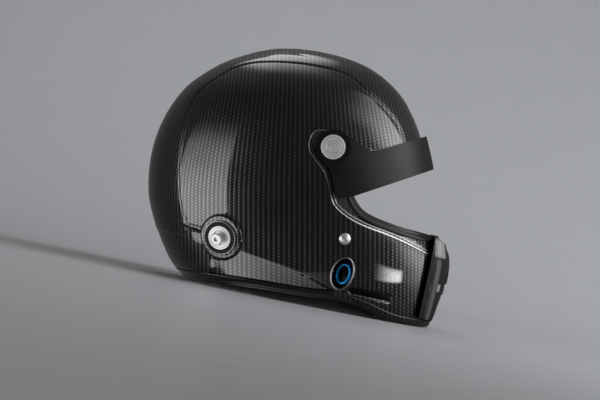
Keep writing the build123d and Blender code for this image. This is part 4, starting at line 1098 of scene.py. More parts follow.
    def shaped(self, p: np.ndarray, fields: dict[str, Field]) -> np.ndarray:
        """Raises and sinks the plain form's points into the shell's features.

        Each feature's height is its depth times a slope of the distance inside it, and the bosses
        are brought onto their flat faces.
        """
        out = FORM.normal(p)
        recess = fields["recess"](p)
        steps = ease(recess, self.step_slope) + ease(recess - self.step_apart, self.step_slope)
        sunk = np.minimum(
            -self.recess_depth / 2 * steps,
            -(self.recess_depth + 0.0002) * ramp(fields["chin"](p), 0.001),
        )
        spine = fields["spine"](p)
        fade = 0.4 + 0.6 * ease(p[..., 2] - 0.050, 0.030)
        fall = self.spine_fall * ease(spine - 0.001, 0.016)
        rise = fade * (self.spine_rise * ease(spine, self.spine_slope) - fall)
        below = np.clip(fields["tuck"](p), 0, None)
        share = below / (below + np.clip(p[..., 2] - self.edge_rise(p[..., 0]) - 0.0088, 1e-5, None))
        rise = rise - self.tuck_depth * (1 - np.exp(-3 * share))
        rise = rise - self.slot_depth * ease(fields["slot"](p), self.slot_slope)
        rise = rise + self.wing_rise * ease(fields["wing"](p), 0.0045)
        p = p + out * (sunk + rise)[..., None]
        for share, name, stand, taper in (
            (POST_SHARE, "post", self.post_stand, self.post_taper),
            (PIVOT_SHARE, "pivot", self.pivot_stand, self.pivot_taper),
        ):
            inside = fields[name](p)
            for side in Side:
                seat, axis = FORM.side_seat(share, side)
                axis = np.array([0, side.value, 0]) if name == "pivot" else axis
                lift = stand - (p - seat) @ axis
                blend = ease(inside + taper, taper) * (p[..., 1] * side.value > 0)
                p = p + axis * (lift * blend)[..., None]
        return p

    def cut_levels(self) -> dict[str, tuple[float, ...]]:
        """The distances inside each feature that the net is cut along, in the order of the cuts."""
        return {
            "eyeport": (0.0,),
            "port": (0.0,),
            "chin": (-0.0008, -0.0003, 0.0, 0.001),
            "recess": self.step_levels(),
            "post": (0.0, -self.post_taper / 2, -self.post_taper),
            "pivot": (0.0, -self.pivot_taper),
            "spine": (*self.spine_edge, 0.001, 0.002),
            "slot": (0.0, self.slot_slope / 2, self.slot_slope),
            "wing": (0.0, 0.0015, 0.003, 0.0045),
            "tuck": (-0.0008, 0.0, 0.003),
        }

    def build(self) -> bpy.types.Object:
        """Makes the shell: an outer net cut along its features, a wall inside it and rims between."""
        fields = self.fields()
        net = Net.on_grid(self.grid())
        for name, levels in self.cut_levels().items():
            for level in levels:
                net.cut(fields[name], level)
        flat = net.points
        hole = np.maximum(fields["eyeport"](flat), fields["port"](flat))
        faces = net.faces[~(hole[net.faces] > -1e-5).all(1)]
        used = np.unique(faces)
        renumber = np.full(len(flat), -1)
        renumber[used] = np.arange(len(used))
        flat, faces = flat[used], renumber[faces]
        uv = self.weave_place(flat)
        outer = self.shaped(flat, fields)
        out = FORM.normal(flat)
        along = unit(np.cross(np.array([0.0, 0.0, 1.0]), out), 1e-9)
        up = np.cross(out, along)
        step = 0.0003
        across = self.shaped(flat + along * step, fields) - self.shaped(flat - along * step, fields)
        rise = self.shaped(flat + up * step, fields) - self.shaped(flat - up * step, fields)
        normal = unit(np.cross(across, rise))
        inner = outer - out * self.wall
        count = len(outer)
        rims = rim_quads(faces, count)
        points = np.vstack([outer, inner])
        triangles = np.vstack([faces, faces[:, ::-1] + count])
        piece = make_piece("carbon_shell", points, [*triangles, *rims], np.vstack([uv, uv]), 180.0)
        run = points[rims[:, 1]] - points[rims[:, 0]]
        face_out = unit(np.cross(run, points[rims[:, 3]] - points[rims[:, 0]]), 1e-12)
        corner = np.vstack([np.vstack([normal, -normal])[triangles.ravel()], np.repeat(face_out, 4, 0)])
        piece.data.normals_split_custom_set(corner.tolist())
        # The points' tone holds the painted highlights along the step and spine edges.
        store_tone_and_painted_light(piece, np.concatenate([self.tones_with_painted_highlights(flat, fields), np.zeros(count)]))
        return settle(piece, "helmet", "carbon_clear", CARBON, "outer_shell")


@dataclass
class EdgeTrims:
    """The rubber bands on the shell's bottom edge and round the eyeport."""

    tall: float = 0.0085
    stand: float = 0.0012
    wall: float = 0.004
    corner: float = 0.0012
    stations: int = 240

    def band_profile(self) -> np.ndarray:
        """A rounded upright section, as upward and outward sizes."""
        inner, outer = -self.wall - self.stand, self.stand
        corners = [(self.tall, outer), (self.tall, inner), (0, inner), (0, outer)]
        points = []
        for (up, out), start in zip(corners, (0, 90, 180, 270)):
            middle_up = up - math.copysign(self.corner, up - self.tall / 2)
            middle_out = out - math.copysign(self.corner, out - (inner + outer) / 2)
            angle = np.radians(start + np.linspace(0, 90, 5))
            points.append(np.stack([middle_up + self.corner * np.cos(angle),
                                    middle_out + self.corner * np.sin(angle)], 1))
        return np.vstack(points)

    def bottom_band(self, shell: CarbonShell) -> bpy.types.Object:
        """The band that grips the bottom edge all round."""
        turn = np.linspace(0, 2 * math.pi, self.stations, endpoint=False)
        z = np.zeros(self.stations)
        for _ in range(3):
            z = np.maximum(shell.edge_rise(FORM.points(turn, z)[:, 0]), 0)
        path = FORM.points(turn, z)
        out = unit(FORM.normal(path + np.array([0, 0, 0.004])) * np.array([1, 1, 0]))
        lean = FORM.points(turn, z + self.tall) - path
        lean = lean / lean[:, 2:3]
        profile = self.band_profile()
        ring = path[:, None] + profile[None, :, :1] * lean[:, None] + profile[None, :, 1:] * out[:, None]
        ring = np.concatenate([ring, ring[:, :1]], axis=1)
        faces = grid_faces(len(path), ring.shape[1], True)
        piece = make_piece("bottom_band", ring.reshape(-1, 3), faces, None, 40)
        merge(piece)
        return settle(piece, "helmet", "rubber_trim", RUBBER, "bottom_edge_trim")

    def eye_path(self, count: int = 150) -> np.ndarray:
        """The eyeport's edge as a closed path on the form, from the chin round to the brow and back."""
        line = smooth_line(FORM.place(EYEPORT_SHARES), 200)
        y = FORM.half_width(line[:, 0], line[:, 1])
        keep = y > 0
        line, y = line[keep], y[keep]
        right = np.stack([line[:, 0], -y, line[:, 1]], 1)
        ends = right[[0, -1]] * np.array([1, 0, 1])
        right = np.vstack([FORM.seated(ends[:1]) * [1, 0, 1], right, FORM.seated(ends[1:]) * [1, 0, 1]])
        length = lengths_along(right)
        at = np.linspace(0, length[-1], count)
        right = np.stack([np.interp(at, length, right[:, i]) for i in range(3)], 1)
        left = right[-2:0:-1] * np.array([1, -1, 1])
        return np.vstack([right, left])

    def eye_seal(self) -> bpy.types.Object:
        """The eyeport's seal: a bead on the sunken band and a thin lip that stands into the opening."""
        path = self.eye_path()
        section = smooth_line(SEAL_SECTION, 3, closed=True)
        piece = swept("eye_seal", path, FORM.normal(path), section, True, 60)
        return settle(piece, "helmet", "rubber_trim", EYE_RUBBER, "eyeport_trim")

    def build(self, shell: CarbonShell) -> None:
        """Makes both bands."""
        self.bottom_band(shell)
        self.eye_seal()


@dataclass
class ChinModule:
    """The moulded chin module: a dark groove at the seam, a raised side strip and a lower front face."""

    proud: float = 0.0064
    side_proud: float = 0.0015
    rebate: float = 0.0016
    foot: float = 0.0096
    gap: float = 0.0003
    window_half: float = 0.030
    window_low: float = 0.050
    window_high: float = 0.064
    slot_half: float = 0.0078
    slot_low: float = 0.0277
    slot_high: float = 0.0473
    core_half: float = 0.034
    groove_depth: float = 0.0036
    face_depth: float = 0.0014
    horn_depth: float = 0.0012
    strip_from: float = 0.735
    strip_to: float = 0.850
    # Painted highlights: how light the side strip and the facet above it are painted.
    strip_highlight_level: float = 0.13
    facet_highlight_level: float = 0.60
    clip_tone: float = 0.60

    def section(self, z: np.ndarray, proud: float, side: float) -> Three:
        """Middle, reach and half width of the form's front half at heights, grown by two amounts."""
        _, front, wide = np.moveaxis(FORM.level(z / (FORM.height + proud)), -1, 0)
        length = FORM.length / 2 + proud
        middle = FORM.middle_x + FORM.widest_share * length
        return middle, (front - FORM.widest_share) * length, (FORM.width / 2 + side) * wide

    def reach(self, y: np.ndarray, z: np.ndarray, proud: float, side: float) -> np.ndarray:
        """How far forward the grown form stands at places across and up."""
        middle, reach, wide = self.section(z, proud, side)
        left = np.clip(1 - np.abs(y / wide) ** FORM.front_power, 0, None)
        return middle + reach * left ** (1 / FORM.front_power)

    def spread(self, z: np.ndarray, proud: float, side: float, seam: float) -> np.ndarray:
        """Half width of the grown form where it meets the seam."""
        middle, reach, wide = self.section(z, proud, side)
        return wide * (1 - ((seam - middle) / reach) ** FORM.front_power) ** (1 / FORM.front_power)

    def sheet(self) -> Three:
        """The front and back sheets, and which quads belong to the window and the slot.

        The front sheet is the lesser of the grown form and the side profile, less the relief: the
        groove's and the face's depths times slopes of the share of the half width.

        Returns:
            Front points, back points and a mask of open quads.
        """
        profile = FORM.place(MODULE_SHARES)
        seam = profile[-1, 0] + self.gap
        top = profile[-1, 1] - 0.0006
        heights = [self.window_low, self.window_high, self.slot_low, self.slot_high, *profile[1:-1, 1]]
        z = np.unique(np.round(np.concatenate([np.linspace(self.foot, top, 64), heights]), 5))
        close = np.diff(z, prepend=-1) < 0.0005
        z = z[~close | np.isin(z, np.round(heights, 5))]
        core = np.concatenate([np.linspace(0, self.core_half, 24), [self.window_half, self.slot_half]])
        core = np.unique(np.round(core, 5))
        outer = np.linspace(0, 1, 60)[1:]
        wide = self.spread(z, self.proud, self.side_proud, seam)[None]
        y = np.vstack([np.broadcast_to(core[:, None], (len(core), len(z))),
                       self.core_half + outer[:, None] * (wide - self.core_half)])
        y = np.vstack([-y[:0:-1], y])
        z2 = np.broadcast_to(z, y.shape)
        back_wide = self.spread(z, -self.rebate, -self.rebate, seam)[None]
        past = np.clip((np.abs(y) - self.core_half) / (wide - self.core_half), 0, 1)
        aside = np.sign(y) * (self.core_half + past * (back_wide - self.core_half))
        back_y = np.where(np.abs(y) <= self.core_half, y, aside)
        share = np.abs(y) / wide
        full = self.reach(y, z2, self.proud, self.side_proud)
        full = np.minimum(full, np.interp(z2, profile[:, 1], profile[:, 0]))
        ridge = 0.35 * (1 - ramp(np.abs(share - 0.925), 0.008))
        groove = ease(1 - share, 0.016) * (1 - ease(self.strip_to - share, 0.020)) - ridge
        inner = self.strip_from - 0.22 * ease(z2 - 0.066, 0.012)
        face = ease(inner - share, 0.025)
        horn = ease(z2 - 0.079, 0.002) * (1 - ease(0.80 - share, 0.03))
        relief = self.groove_depth * groove + self.face_depth * face + self.horn_depth * horn
        back = np.maximum(self.reach(back_y, z2, -self.rebate, -self.rebate), seam)
        front = np.maximum(np.maximum(full - relief, seam), back + 0.0004)
        at_y, at_z = ((q[1:, 1:] + q[:-1, :-1]) / 2 for q in (y, z2))
        open_quads = np.zeros(at_y.shape, bool)
        for half, low, high in ((self.window_half, self.window_low, self.window_high),
                                (self.slot_half, self.slot_low, self.slot_high)):
            open_quads |= (np.abs(at_y) < half) & (at_z > low) & (at_z < high)
        return np.stack([front, y, z2], -1), np.stack([back, back_y, z2], -1), open_quads

    def tones_with_painted_highlights(self, front: np.ndarray) -> np.ndarray:
        """How light the module is painted: a painted highlight on the side strip, brightest along its middle,
        a painted highlight on the facet above it and a grey clip.
        """
        y, z = front[..., 1], front[..., 2]
        share = np.abs(y) / np.abs(y[0])[None]
        strip = ease(share - self.strip_from, 0.012) * ease(self.strip_to - share, 0.012)
        strip = strip * ease(0.076 - z, 0.003)
        # A brighter painted highlight line along the strip's middle.
        strip = strip * (1 + 1.6 * (1 - ramp(np.abs(share - 0.79), 0.010)))
        # A painted highlight on the facet on top of the module.
        facet = ease(share - 0.60, 0.015) * ease(0.86 - share, 0.015) * ease(z - 0.0765, 0.0015)
        clip = ease(share - 0.60, 0.010) * ease(self.strip_from - share, 0.010)
        clip = clip * ease(z - 0.0405, 0.001) * ease(0.0490 - z, 0.001)
        facet_top = ease(0.097 - z, 0.003)
        return self.strip_highlight_level * strip + self.facet_highlight_level * facet * facet_top + self.clip_tone * clip

    def build(self) -> None:
        """Makes the module with its rims closed."""
        front, back, open_quads = self.sheet()
        rows, columns = front.shape[:2]
        faces = grid_faces(rows, columns, False)[~open_quads.ravel()]
        count = rows * columns
        quads = np.vstack([faces, faces[:, ::-1] + count, rim_quads(faces, count)])
        points = np.vstack([front.reshape(-1, 3), back.reshape(-1, 3)])
        piece = make_piece("chin_module", points, quads, None, 38.0)
        # The points' tone holds the painted highlights of the strip and facet, and the grey clip.
        store_tone_and_painted_light(piece, np.concatenate([self.tones_with_painted_highlights(front).ravel(), np.zeros(count)])[np.unique(quads)])
        settle(piece, "helmet", "module_plastic", MODULE_TONE_AND_HIGHLIGHTS, "chin_vent_frame")


def turned_oval(name: str, base: np.ndarray, aim: np.ndarray, up: np.ndarray, section: np.ndarray,
                around: int = 72) -> bpy.types.Object:
    """Turns a section about an axis into an oval body.

    A point is the base, plus the section's first size along the axis, plus the oval whose half
    width and half height are its second and third.

    Args:
        name: The piece's name.
        base: A point on the axis.
        aim: The axis, outward.
        up: The direction of the oval's height.
        section: Length along the axis, half width and half height of each step.
        around: Points around.

    Returns:
        The new object.
    """
    aim = aim / np.linalg.norm(aim)
    up = up - aim * (up @ aim)
    up /= np.linalg.norm(up)
    aside = np.cross(up, aim)
    turn = np.linspace(0, 2 * math.pi, around, endpoint=False)[:, None, None]
    points = (base + section[None, :, :1] * aim + section[None, :, 1:2] * np.cos(turn) * aside
              + section[None, :, 2:3] * np.sin(turn) * up)
    piece = make_piece(name, points.reshape(-1, 3), grid_faces(around, len(section), True), None, 40)
    merge(piece, fill=True)
    piece.data.set_sharp_from_angle(angle=math.radians(40))
    return piece


@dataclass
class SidePorts:
    """The bright rims of both side ports, the blue drink socket and its black valve."""

    width: float = 0.024
    tall: float = 0.036
    wall: float = 0.0015
    rake_deg: float = 8.0
    mouth_depth: float = 0.0045
    forward: float = 0.0003
    aim: tuple[float, float, float] = (-0.42, -0.90, 0.0)

    def rim(self, side: Side) -> None:
        """A rounded rim on the port's bezel, along the oval on the form."""
        seat, _ = FORM.side_seat(PORT_SHARE, side)
        rake = math.radians(self.rake_deg)
        turn = np.linspace(0, 2 * math.pi, 96, endpoint=False)
        u = (self.width / 2 - self.wall / 2) * np.cos(turn)
        v = (self.tall / 2 - self.wall / 2) * np.sin(turn)
        x = seat[0] + u * math.cos(rake) + v * math.sin(rake)
        z = seat[2] - u * math.sin(rake) + v * math.cos(rake)
        path = np.stack([x, side.value * FORM.half_width(x, z), z], 1)
        bend = np.radians(np.linspace(0, 180, 9))
        top = np.stack([-0.00095 * np.cos(bend), 0.0003 + 0.00095 * np.sin(bend)], 1)
        profile = np.vstack([top, [(0.00095, -0.002), (-0.00095, -0.002)]])
        piece = swept(f"port_rim_{side.name.lower()}", path, FORM.normal(path), profile, True, 60)
        settle(piece, "helmet", "module_plastic", RIM_SATIN)

    def build(self) -> None:
        """Makes the rims, the socket and the valve."""
        for side in Side:
            self.rim(side)
        for side in Side:
            foot, out = FORM.side_seat(POST_SHARE, side)
            turn = np.linspace(0, 2 * math.pi, 13)
            wire = np.stack([0.0044 + 0.0005 * np.sin(turn), *[0.0174 + 0.0005 * np.cos(turn)] * 2], 1)
            ring = turned_oval(f"post_rim_{side.name.lower()}", foot, out, np.array([0, 0, 1.0]), wire, 96)
            settle(ring, "helmet", "module_plastic", RIM_SATIN)
        seat, _ = FORM.side_seat(PORT_SHARE, Side.RIGHT)
        mouth = seat + np.array([self.forward, self.mouth_depth, 0])
        aim = np.array(self.aim)
        up = np.array([math.sin(math.radians(self.rake_deg)), 0, math.cos(math.radians(self.rake_deg))])
        blue = TurnedMetal("blue_dyed_metal", (0.014, 0.34, 0.82), 0.32, 0.6, centre=tuple(mouth),
                           axis=self.aim, ring_pitch=0.0010, cut=0.00006)
        socket = turned_oval("drink_socket", mouth, aim, up, SOCKET_SECTION)
        settle(socket, "helmet", "blue_anodised", blue, "hydration_socket")
        valve = turned_oval("drink_valve", mouth, aim, up, VALVE_SECTION)
        settle(valve, "helmet", "module_plastic", RING_BLACK)


@dataclass
class SlotInserts:
    """Black inserts in the shell's two pressed slots."""

    depth: float = 0.0012
    draw_in: float = 0.0013
    thick: float = 0.0008

    def build(self) -> None:
        """Makes each insert: rings of a rounded bar, laid on the form at its own depth."""
        ends = FORM.place(SLOT_SHARES)
        radius = SLOT_TALL_SHARE * FORM.height / 2
        along = (ends[1] - ends[0]) / np.linalg.norm(ends[1] - ends[0])
        aside = np.array([-along[1], along[0]])
        bend, level = np.linspace(-90, 90, 17), np.full(14, 90.0)
        turn = np.radians(np.concatenate([bend, level, 180 + bend, level + 180]))
        rearward, forward = np.linspace(0, 1, 16)[1:-1], np.linspace(1, 0, 16)[1:-1]
        back = np.concatenate([np.zeros(17), rearward, np.ones(17), forward])
        middle = ends[1] - along * radius + back[:, None] * (ends[0] - ends[1] + 2 * along * radius)
        ring = np.array([0.0, 0.35, 0.7, 0.93, 1.0])
        spine = middle[:, None] + (radius - self.draw_in) * ring[None, :, None] * (
            np.cos(turn)[:, None] * along + np.sin(turn)[:, None] * aside)[:, None]
        drop = np.array([0.0, 0.0, 0.0, 0.0001, 0.0005])
        for side in Side:
            x, z = spine[..., 0], spine[..., 1]
            points = np.stack([x, side.value * FORM.half_width(x, z), z], -1)
            points = points - FORM.normal(points) * (self.depth + drop)[None, :, None]
            faces = grid_faces(len(turn), len(ring), True)
            piece = make_piece(f"slot_insert_{side.name.lower()}", points.reshape(-1, 3), faces, None, 40)
            merge(piece, facing_y=side.value)
            solid = piece.modifiers.new("wall", "SOLIDIFY")
            solid.thickness = self.thick
            solid.offset = -1
            settle(piece, "helmet", "rubber_trim", RING_BLACK)


@dataclass
class Cushion:
    """A padded piece: the CAD solid's shape, drawn in, remeshed, swollen as cloth, then sewn."""

    node: str
    seat_inset: float
    voxel: float = 0.0045
    shrink: float = 0.0014
    cap: float = 0.0035
    fill: float = 0.7
    pressure: float = 4.0
    channel_x: Optional[float] = None
    channel_depth: float = 0.0022
    frames: int = 20

    def vertices(self, mesh: bpy.types.Mesh) -> np.ndarray:
        """The mesh's points."""
        flat = np.empty(len(mesh.vertices) * 3, np.float32)
        mesh.vertices.foreach_get("co", flat)
        return flat.reshape(-1, 3).astype(float)

    def with_modifier(self, piece: bpy.types.Object, kind: str, frames: int = 0, **values: object) -> None:
        """Adds a modifier, steps through frames and takes its result as the piece's mesh."""
        modifier = piece.modifiers.new(kind.lower(), kind)
        for key, value in values.items():
            setattr(modifier, key, value)
        if kind == "CLOTH":
            cloth = modifier.settings
            cloth.use_pressure, cloth.uniform_pressure_force = True, self.pressure
            cloth.effector_weights.gravity = 0
            cloth.vertex_group_mass = "seat"
            cloth.quality = 5
            cloth.mass = 0.3
            modifier.point_cache.frame_start, modifier.point_cache.frame_end = 1, frames
        for frame_number in range(1, frames + 1):
            bpy.context.scene.frame_set(frame_number)
        shape = bpy.data.meshes.new_from_object(piece.evaluated_get(bpy.context.evaluated_depsgraph_get()))
        piece.modifiers.remove(modifier)
        piece.data = shape

    def seat_share(self, points: np.ndarray) -> np.ndarray:
        """How firmly each point rests on its seat, from its distance inside the seat's form."""
        slope = np.linalg.norm(FORM.gradient(points, lambda q: FORM.excess(q, self.seat_inset)), axis=1)
        inside = -FORM.excess(points, self.seat_inset) / slope
        return 1 - ease(inside - 0.0015, 0.004)

    def build(self) -> bpy.types.Object:
        """Makes the cushion."""
        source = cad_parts[self.node]
        mesh = source.data.copy()
        edit = bmesh.new()
        edit.from_mesh(mesh)
        bmesh.ops.remove_doubles(edit, verts=edit.verts, dist=2e-5)
        edit.to_mesh(mesh)
        edit.free()
        mesh.materials.clear()
        piece = bpy.data.objects.new(f"{self.node}_cushion", mesh)
        bpy.context.scene.collection.objects.link(piece)
        self.with_modifier(piece, "REMESH", mode="VOXEL", voxel_size=self.voxel)
        points = self.vertices(piece.data)
        normal = np.empty(len(points) * 3, np.float32)
        piece.data.vertices.foreach_get("normal", normal)
        points = points - normal.reshape(-1, 3) * self.shrink
        piece.data.vertices.foreach_set("co", points.astype(np.float32).ravel())
        group = piece.vertex_groups.new(name="seat")
        hold = self.seat_share(points)
        for level in (0.25, 0.5, 0.75, 1.0):
            chosen = np.nonzero((hold > level - 0.125) & (hold <= level + 0.125))[0].tolist()
            group.add(chosen, level, "REPLACE")
        self.with_modifier(piece, "CLOTH", self.frames)
        moved = self.vertices(piece.data) - points
        size = np.linalg.norm(moved, axis=1, keepdims=True)
        points = points + moved * np.minimum(1, self.cap / np.maximum(size, 1e-9))
        bpy.context.scene.frame_set(1)
        points[:, 2] = np.maximum(points[:, 2], 0.0003)
        piece.data.vertices.foreach_set("co", points.astype(np.float32).ravel())
        self.with_modifier(piece, "SUBSURF", levels=1, render_levels=1)
        if self.channel_x is not None:
            points = self.vertices(piece.data)
            away = (points[:, 0] - self.channel_x) / 0.0035
            pinch = self.channel_depth * np.exp(-(away**2)) * (1 - self.seat_share(points))
            points[:, 1] += np.sign(points[:, 1]) * pinch
            piece.data.vertices.foreach_set("co", points.astype(np.float32).ravel())
        piece.data.polygons.foreach_set("use_smooth", np.ones(len(piece.data.polygons), bool))
        piece.vertex_groups.clear()
        piece.data.materials.clear()
        settle(piece, "helmet", "pad_fabric", KNIT if self.channel_x is not None else KNIT_PLAIN, self.node)
        return piece


@dataclass
class Harness:
    """The chin strap's two halves in webbing, the left one looped round both D-rings."""

    at_x: float = 0.004
    width: float = 0.025
    thick: float = 0.002
    bend: float = 0.007
    low: float = 0.0016
    fold: float = 0.0037
    step: float = 0.0007

    def strap(self, side: Side, ends: list[tuple[float, float]]) -> None:
        """Carries the webbing's section along a line of straight runs, eased at its corners.

        Args:
            side: The side that it hangs from.
            ends: Sideways and upward places of the run's last points.
        """
        at = np.array(self.at_x)
        top = float(FORM.half_width(at, 0.044, 0.0062)) - 0.002
        past = float(FORM.half_width(at, 0.024, 0.0046)) - 0.003
        drop = float(FORM.half_width(at, 0.00525, 0.004)) - 0.027
        line = np.array([(top, 0.044), (past, 0.024), (drop, 0.024), (drop, self.low), *ends])
        length = lengths_along(line)
        places = np.linspace(0, length[-1], int(length[-1] / self.step))
        fine = np.stack([np.interp(places, length, line[:, i]) for i in (0, 1)], 1)
        count = int(self.bend / self.step) | 1
        padded = np.vstack([np.repeat(fine[:1], count // 2, 0), fine, np.repeat(fine[-1:], count // 2, 0)])
        window = np.hanning(count + 2)[1:-1]
        fine = np.stack([np.convolve(padded[:, i], window / window.sum(), "valid") for i in (0, 1)], 1)
        level = np.maximum(fine[:, 1], self.low)
        path = np.stack([np.full(len(fine), self.at_x), side.value * fine[:, 0], level], 1)
        out = np.cross(np.gradient(path, axis=0), np.array([1.0, 0, 0]))
        edge, face = self.width / 2, self.thick / 2
        shoulder, swell = edge * 0.97, face * 1.05
        profile = np.array([(-edge, 0.0), (-shoulder, face), (0, swell), (shoulder, face),
                            (edge, 0.0), (shoulder, -face), (0, -swell), (-shoulder, -face)])
        piece = swept(f"strap_{side.name.lower()}", path, out, profile, False, 60)
        settle(piece, "helmet", "webbing", WEBBING, f"chin_strap_{side.name.lower()}")

    def build(self) -> None:
        """Makes both halves."""
        self.strap(Side.RIGHT, [
            (0.0135, self.low), (0.0115, 0.0027), (0.0135, self.fold), (0.0316, self.fold),
        ])
        self.strap(Side.LEFT, [
            (0.0375, self.low), (0.0352, 0.0044), (0.0375, 0.0072), (0.0455, 0.0072),
            (0.0530, self.fold), (0.0660, self.fold),
        ])


@dataclass
class Fittings:
    """The CAD's own fittings, dressed in turned metal, plastic and steel."""

    def build(self) -> None:
        """Dresses each fitting about its own axis."""
        for side in Side:
            word = side.name.lower()
            x, z = FORM.place(PIVOT_SHARE)
            dress([f"pivot_screw_{word}"], TurnedMetal(
                f"pivot_metal_{word}", (0.95, 0.95, 0.95), 0.42, 0.15, centre=(x, 0.0, z),
                axis=(0.0, 1.0, 0.0), ring_pitch=0.0009, cut=0.00030, grooves=SCREW_GROOVES))
            for node, share, grooves in (
                (f"post_disc_{word}", POST_SHARE, DISC_GROOVES),
                (f"tether_post_{word}", POST_SHARE, ()),
                (f"side_stud_{word}", STUD_SHARE, ()),
            ):
                seat, axis = FORM.side_seat(share, side)
                dress([node], TurnedMetal(
                    f"{node}_metal", (0.80, 0.80, 0.81), 0.42, 0.60, centre=tuple(seat), axis=tuple(axis),
                    ring_pitch=0.0009, cut=0.00010, grooves=grooves))
            dress([f"post_ring_{word}", f"port_bezel_{word}"], RING_BLACK)
            dress([f"pivot_bush_{word}", f"strap_anchor_{word}"], STEEL)
            dress([f"cheek_liner_{word}"], FOAM)
        seat, _ = FORM.side_seat(PORT_SHARE, Side.RIGHT)
        black = TurnedMetal("black_dyed_metal", (0.05, 0.05, 0.055), 0.3, 1.0, centre=tuple(seat),
                            axis=(-0.55, 0.80, 0.10), ring_pitch=0.0012)
        dress(["comms_socket"], black)
        dress(["pivot_washers"], MODULE_PLASTIC)
        dress(["pivot_nuts", "post_nuts", "stud_nuts", "anchor_rivets"], STEEL)
        dress(["d_ring_inner", "d_ring_outer"], STEEL)
        dress(["chin_vent_grille"], MESH_BLACK)
        dress(["chin_vent_shutter"], GREY_TAB)
        dress(["peak"], PEAK_PLASTIC)
        dress(["crown_liner", "chin_liner"], FOAM)


CUSHIONS = [
    Cushion("cheek_pad_right", 0.0243, channel_x=0.01375),
    Cushion("cheek_pad_left", 0.0243, channel_x=0.01375),
    Cushion("crown_pad", 0.0363, voxel=0.0032, shrink=0.0008, cap=0.0022, fill=0.6),
    Cushion("brow_pad", 0.0363, voxel=0.0030, shrink=0.0008, cap=0.0022, fill=0.6),
    Cushion("neck_roll", 0.0, voxel=0.0042, shrink=0.0012, cap=0.0018, fill=0.8),
]


@dataclass(frozen=True)
class SoftBox:
    """A soft lamp that faces the helmet, upright in the tilted picture, with its edges feathered.

    Its direction is an azimuth from the camera's side toward the rear and a rise, and its spread is
    how wide and tall it looks from the helmet, both in degrees. The feather is the shares of the box
    that fade at its left, right, bottom and top, and the roll turns it about its middle.
    """

    name: str
    toward: tuple[float, float]
    spread: tuple[float, float]
    level: float
    feather: tuple[float, float, float, float]
    roll_deg: float = 0.0


SOFT_BOXES = (
    SoftBox("rear_box", (62, 6), (44, 56), 3.8, (0.03, 0.03, 0.03, 0.75)),
    SoftBox("front_box", (-77, 32), (46, 64), 4.6, (0.60, 0.03, 0.05, 0.85), 20),
    SoftBox("peak_box", (-54, 4), (26, 30), 3.8, (0.4, 0.4, 0.4, 0.4)),
    SoftBox("top_box", (176, 63), (34, 40), 2.1, (0.35, 0.35, 0.05, 0.7)),
    SoftBox("low_box", (22, -40), (70, 24), 3.2, (0.10, 0.85, 0.10, 0.08), -8),
    SoftBox("hook_lamp", (-54, -27.5), (26, 3.6), 16.0, (0.75, 0.2, 0.3, 0.3), 6),
    SoftBox("chin_box", (-78, -13), (50, 36), 3.4, (0.6, 0.2, 0.5, 0.4)),
)


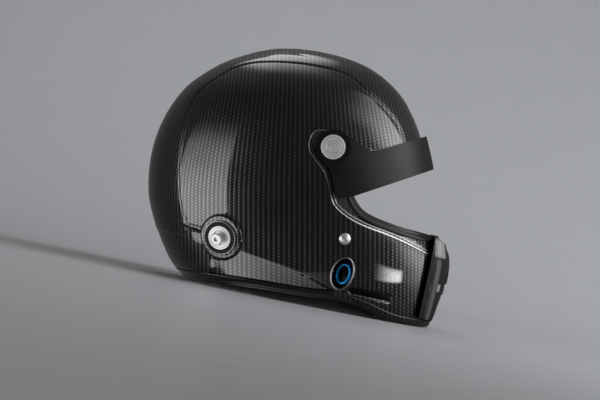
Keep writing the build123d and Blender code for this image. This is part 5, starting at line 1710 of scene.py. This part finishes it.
@dataclass
class Studio:
    """The camera, the pale floor and the soft lamps."""

    tilt_deg: float = 11.7
    camera_at: tuple[float, float, float] = (-0.00365, -3.0, 0.10696)
    lens: float = 166.7
    floor_colour: tuple[float, float, float] = (0.72, 0.74, 0.77)
    world_level: float = 0.10
    far: float = 1.8
    floor_from: float = -5.0
    sweep_from: float = 0.5
    sweep_radius: float = 1.8
    wall_top: float = 5.0
    half_wide: float = 6.0

    def camera(self) -> None:
        """A side-on camera rolled nose-down, as the photograph was taken."""
        data = bpy.data.cameras.new("camera")
        data.lens, data.sensor_width = self.lens, 36.0
        data.clip_end = 50.0
        camera = bpy.data.objects.new("camera", data)
        tilt = math.radians(self.tilt_deg)
        right = Vector((math.cos(tilt), 0, math.sin(tilt)))
        up = Vector((-math.sin(tilt), 0, math.cos(tilt)))
        back = Vector((0, -1, 0))
        turn = Matrix((right, up, back)).transposed().to_4x4()
        camera.matrix_world = Matrix.Translation(self.camera_at) @ turn
        bpy.context.scene.collection.objects.link(camera)
        bpy.context.scene.camera = camera

    def backdrop(self) -> None:
        """A floor that sweeps up into a wall behind, as one curved sheet."""
        turn = np.radians(np.arange(3, 91, 3))
        start, radius = self.sweep_from, self.sweep_radius
        y = np.concatenate([[self.floor_from, start], start + radius * np.sin(turn), [start + radius]])
        z = np.concatenate([[0.0, 0.0], radius - radius * np.cos(turn), [self.wall_top]])
        x = np.array([-self.half_wide, self.half_wide])
        points = np.stack([np.repeat(x, len(y)), np.tile(y, 2), np.tile(z, 2)], 1)
        piece = make_piece("backdrop", points, grid_faces(2, len(y), False))
        paint = BackdropPaint("backdrop_paint", self.floor_colour, 0.35, grain=0.0, cloud=0.02)
        piece.data.materials.append(paint.build())
        piece.visible_glossy = False

    def aimed(self, azimuth_deg: float, rise_deg: float) -> np.ndarray:
        """The direction at an azimuth toward the rear and a rise, both as the tilted picture shows them."""
        a, e, tilt = (math.radians(v) for v in (azimuth_deg, rise_deg, self.tilt_deg))
        x, y, z = -math.sin(a) * math.cos(e), -math.cos(a) * math.cos(e), math.sin(e)
        return np.array([x * math.cos(tilt) - z * math.sin(tilt), y, x * math.sin(tilt) + z * math.cos(tilt)])

    def lamp(self, box: SoftBox) -> None:
        """Makes one soft box.

        Args:
            box: The box.
        """
        data = bpy.data.lights.new(box.name, "AREA")
        size = [2 * self.far * math.tan(math.radians(v) / 2) for v in box.spread]
        data.shape, data.size, data.size_y = "RECTANGLE", size[0], size[1]
        data.energy = box.level * math.pi * size[0] * size[1]
        data.use_nodes = True
        n = Nodes(data.node_tree)
        glow = data.node_tree.nodes["Emission"]
        across, up_share, _ = n.axes(n.add("ShaderNodeNewGeometry").outputs["Parametric"])
        left, right, bottom, top = box.feather
        fade: object = 1.0
        for place, share, flip in ((across, left, False), (across, right, True),
                                   (up_share, bottom, False), (up_share, top, True)):
            edge = n.math("SUBTRACT", 1.0, place) if flip else place
            slope = n.add("ShaderNodeMapRange", interpolation_type="SMOOTHSTEP")
            n.link(edge, slope.inputs["Value"])
            slope.inputs["From Max"].default_value = max(share, 0.001)
            fade = n.math("MULTIPLY", fade, slope.outputs["Result"])
        n.link(fade, glow.inputs["Strength"])
        lamp = bpy.data.objects.new(box.name, data)
        back = Vector(self.aimed(*box.toward))
        up = Vector((-math.sin(math.radians(self.tilt_deg)), 0, math.cos(math.radians(self.tilt_deg))))
        right = up.cross(back).normalized()
        roll = Matrix.Rotation(math.radians(box.roll_deg), 3, back)
        turn = (roll @ Matrix((right, back.cross(right), back)).transposed()).to_4x4()
        lamp.matrix_world = Matrix.Translation(back * self.far + Vector((0, 0, 0.12))) @ turn
        lamp.visible_camera = False
        bpy.context.scene.collection.objects.link(lamp)

    def build(self) -> None:
        """Makes the camera, backdrop, world and lamps."""
        self.camera()
        self.backdrop()
        world = bpy.data.worlds.new("studio")
        world.use_nodes = True
        world.node_tree.nodes["Background"].inputs[0].default_value = (self.world_level,) * 3 + (1,)
        bpy.context.scene.world = world
        for box in SOFT_BOXES:
            self.lamp(box)
        bpy.context.scene.view_settings.view_transform = "Standard"


def main() -> None:
    """Builds each sub-assembly in order."""
    logging.basicConfig(level=logging.INFO, format="%(name)s %(message)s")
    Studio().build()
    shell = CarbonShell()
    shell.build()
    EdgeTrims().build(shell)
    ChinModule().build()
    SidePorts().build()
    SlotInserts().build()
    Fittings().build()
    Harness().build()
    for cushion in CUSHIONS:
        cushion.build()


if __name__ == "__main__":
    main()
